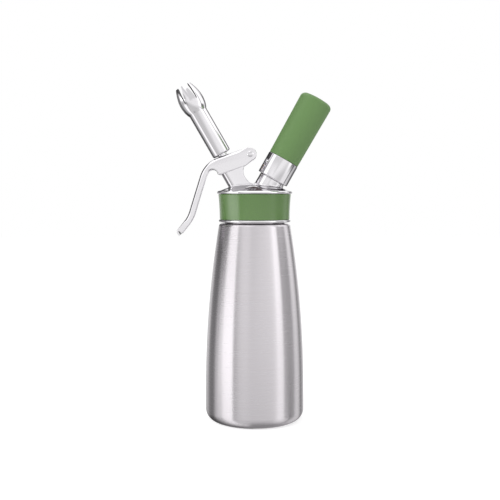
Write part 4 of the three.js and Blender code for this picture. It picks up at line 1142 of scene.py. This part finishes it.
# The inlet: a brass insert screwed into the stub, with the hollow needle that pierces the
# charger, its seal, and below it the check ball on a light spring.
insert_foot, insert_top, seal_top, charger_foot = 22.3, 33.9, 36.4, 36.7
needle_foot, ball_radius, ball_level = 28.9, 2.1, 20.2
insert_radius, insert_hollow, seal_foot, seal_bore = 6.7, 2.9, 34.2, 2.0
needle_radius, needle_shaft, needle_bore = 2.6, 0.9, 0.45
insert_profile = softened([
    (passage_radius, insert_foot + 0.52, 0),
    (ball_radius, insert_foot, 0),
    (insert_radius, insert_foot, 0.3),
    (insert_radius, insert_top, 0.4),
    (insert_hollow, insert_top, 0.2),
    (insert_hollow, needle_foot - seat_gap, 0),
    (passage_radius, needle_foot - seat_gap, 0),
], ring=True)
needle_profile = softened([
    (needle_bore, needle_foot, 0),
    (needle_radius, needle_foot, 0.2),
    (needle_radius, insert_top, 0.3),
    (needle_shaft, insert_top, 0.1),
    (needle_shaft, charger_foot + 0.4, 0.1),
    (needle_bore + 0.01, charger_foot + 2.0, 0),
], ring=True)
inlet_seal_profile = rectangle(seal_bore, insert_radius, seal_foot, seal_top, (0.2, 0.3, 0.3, 0.2))
ball_profile = arc((0, ball_level), ball_radius, -90, 90, 24)
for name, profile, closed, material, body, slot, cad in (
    ("inlet_bush", insert_profile, True, brass, "head", "brass", "inlet_insert"),
    ("needle", needle_profile, True, polished_steel, "head", "polished_steel", "piercing_pin"),
    ("needle_seal", inlet_seal_profile, True, grey_silicone, "head", "grey_silicone", "inlet_seal"),
    ("ball", ball_profile, False, polished_steel, "ball", "polished_steel", "check_ball"),
):
    inlet_mesh = shell_mesh([revolved(profile, 64, ring=closed)], inlet_place)
    add_piece(name, inlet_mesh, material, body, cad)
check_radius, check_wire, check_turns = 2.3, 0.3, 3
check_foot, check_top, ball_travel = 14.8, 19.46, 1.0
check_coil = coil(check_radius, check_wire, check_turns, check_foot, check_top)
check_mesh = shell_mesh([check_coil], inlet_place)
check = add_piece("ball_spring", check_mesh, spring_steel, "head", "check_spring")
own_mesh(check)

# The charger: a gas cartridge, deep-drawn from steel sheet and zinc plated, 18 mm across and
# 65 mm long. The needle pierces its narrow neck, and the holder presses it on the inlet's seal.
charger_radius, charger_top, charger_wall = 9.0, 101.7, 1.3
cartridge_bore, cartridge_neck = 1.3, 4.0
charger_profile = softened([
    (cartridge_bore, charger_foot, 0.2),
    (cartridge_neck, charger_foot, 0.8),
    (cartridge_neck, charger_foot + 8, 2.0),
    (charger_radius, charger_foot + 14.3, 5.0),
    (charger_radius, charger_top, 6.0),
    (0, charger_top, 0),
    (0, charger_top - charger_wall, 0),
    (charger_radius - charger_wall, charger_top - charger_wall, 4.7),
    (charger_radius - charger_wall, charger_foot + 14.8, 3.0),
    (cartridge_neck - charger_wall, charger_foot + 8.6, 1.0),
    (cartridge_neck - charger_wall, charger_foot + charger_wall, 0),
    (cartridge_bore, charger_foot + charger_wall, 0),
], 8, ring=True)
charger_mesh = shell_mesh([revolved(charger_profile, 96, ring=True)], inlet_place)
add_piece("gas_charger", charger_mesh, satin_steel, "charger", "charger")

# The charger holder: a turned and polished stainless steel cup, with a thicker threaded ring at
# its mouth that screws on the inlet stub.
holder_foot, ring_top, cup_inner_top, cup_top = 30.2, 48.5, 102.0, 103.5
ring_radius, cup_radius, cup_bore, holder_bore = 13.4, 11.0, 9.4, 11.85
holder_profile = softened([
    (0, cup_inner_top, 0),
    (cup_bore, cup_inner_top, 1.0),
    (cup_bore, stub_top + seat_gap, 0),
    (holder_bore, stub_top + seat_gap, 0),
    (holder_bore, holder_foot, 0.3),
    (ring_radius, holder_foot, 0.7),
    (ring_radius, ring_top, 0.3),
    (cup_radius, ring_top, 0),
    (cup_radius, cup_top, 1.0),
    (0, cup_top, 0),
])
holder_mesh = shell_mesh([
    revolved(holder_profile, 128),
    thread(
        holder_bore,
        -stub_thread_depth,
        stub_pitch,
        stub_thread_start - stub_pitch / 2,
        stub_slices,
    ),
], inlet_place)
add_piece("holder_cup", holder_mesh, polished_steel, "holder", "charger_holder")

# The holder's sleeve: a thick silicone cap drawn over the cup, so that a hand can grip it when
# the gas makes the steel cold.
sleeve_foot, sleeve_top, sleeve_foot_radius, sleeve_top_radius = 48.8, 106.2, 13.2, 14.1
# silicone from an eroded mould: an even, matt green, with a grain drawn 0.77 mm wide so that it
# shows
matte_silicone = finish(
    "moulded_matte_green_silicone", "#688A53", ("#668851", "#6A8C55"), 0.0, 0.5, (0.42, 0.54),
    0.769, 0.004,
)
sleeve_profile = softened([
    (0, cup_top + seat_gap, 0),
    (cup_radius + seat_gap, cup_top + seat_gap, 0.8),
    (cup_radius + seat_gap, sleeve_foot, 0.1),
    (sleeve_foot_radius, sleeve_foot, 0.4),
    (sleeve_top_radius, sleeve_top, 3.8),
    (0, sleeve_top, 0),
], 8)
sleeve_mesh = shell_mesh([revolved(sleeve_profile, 128)], inlet_place)
add_piece("sleeve", sleeve_mesh, matte_silicone, "holder", "holder_sleeve")

# The relief valve at the back of the dome: a thin brass disc that bursts when the pressure is
# too high, under a hollow hexagon plug.
plug_flats, plug_foot, plug_top, vent_radius = 8.0, seat_gap, 2.7, 1.4
shank_radius, shank_foot, shank_top = 2.9, -4.9, 1.0
shank_profile = rectangle(vent_radius, shank_radius, shank_foot, shank_top, [0] * 4)
shank = revolved(shank_profile, 48, ring=True)
plug_mesh = shell_mesh([hexagon(plug_flats, plug_foot, plug_top, vent_radius), shank], relief_place)
add_piece("vent_plug", plug_mesh, brass, "head", "relief_plug")
disc_foot, disc_top = -5.7, -5.2
disc_mesh = shell_mesh([rod(shank_radius, disc_foot, disc_top, 48, 0.1)], relief_place)
add_piece("disc", disc_mesh, brass, "head", "burst_disc")
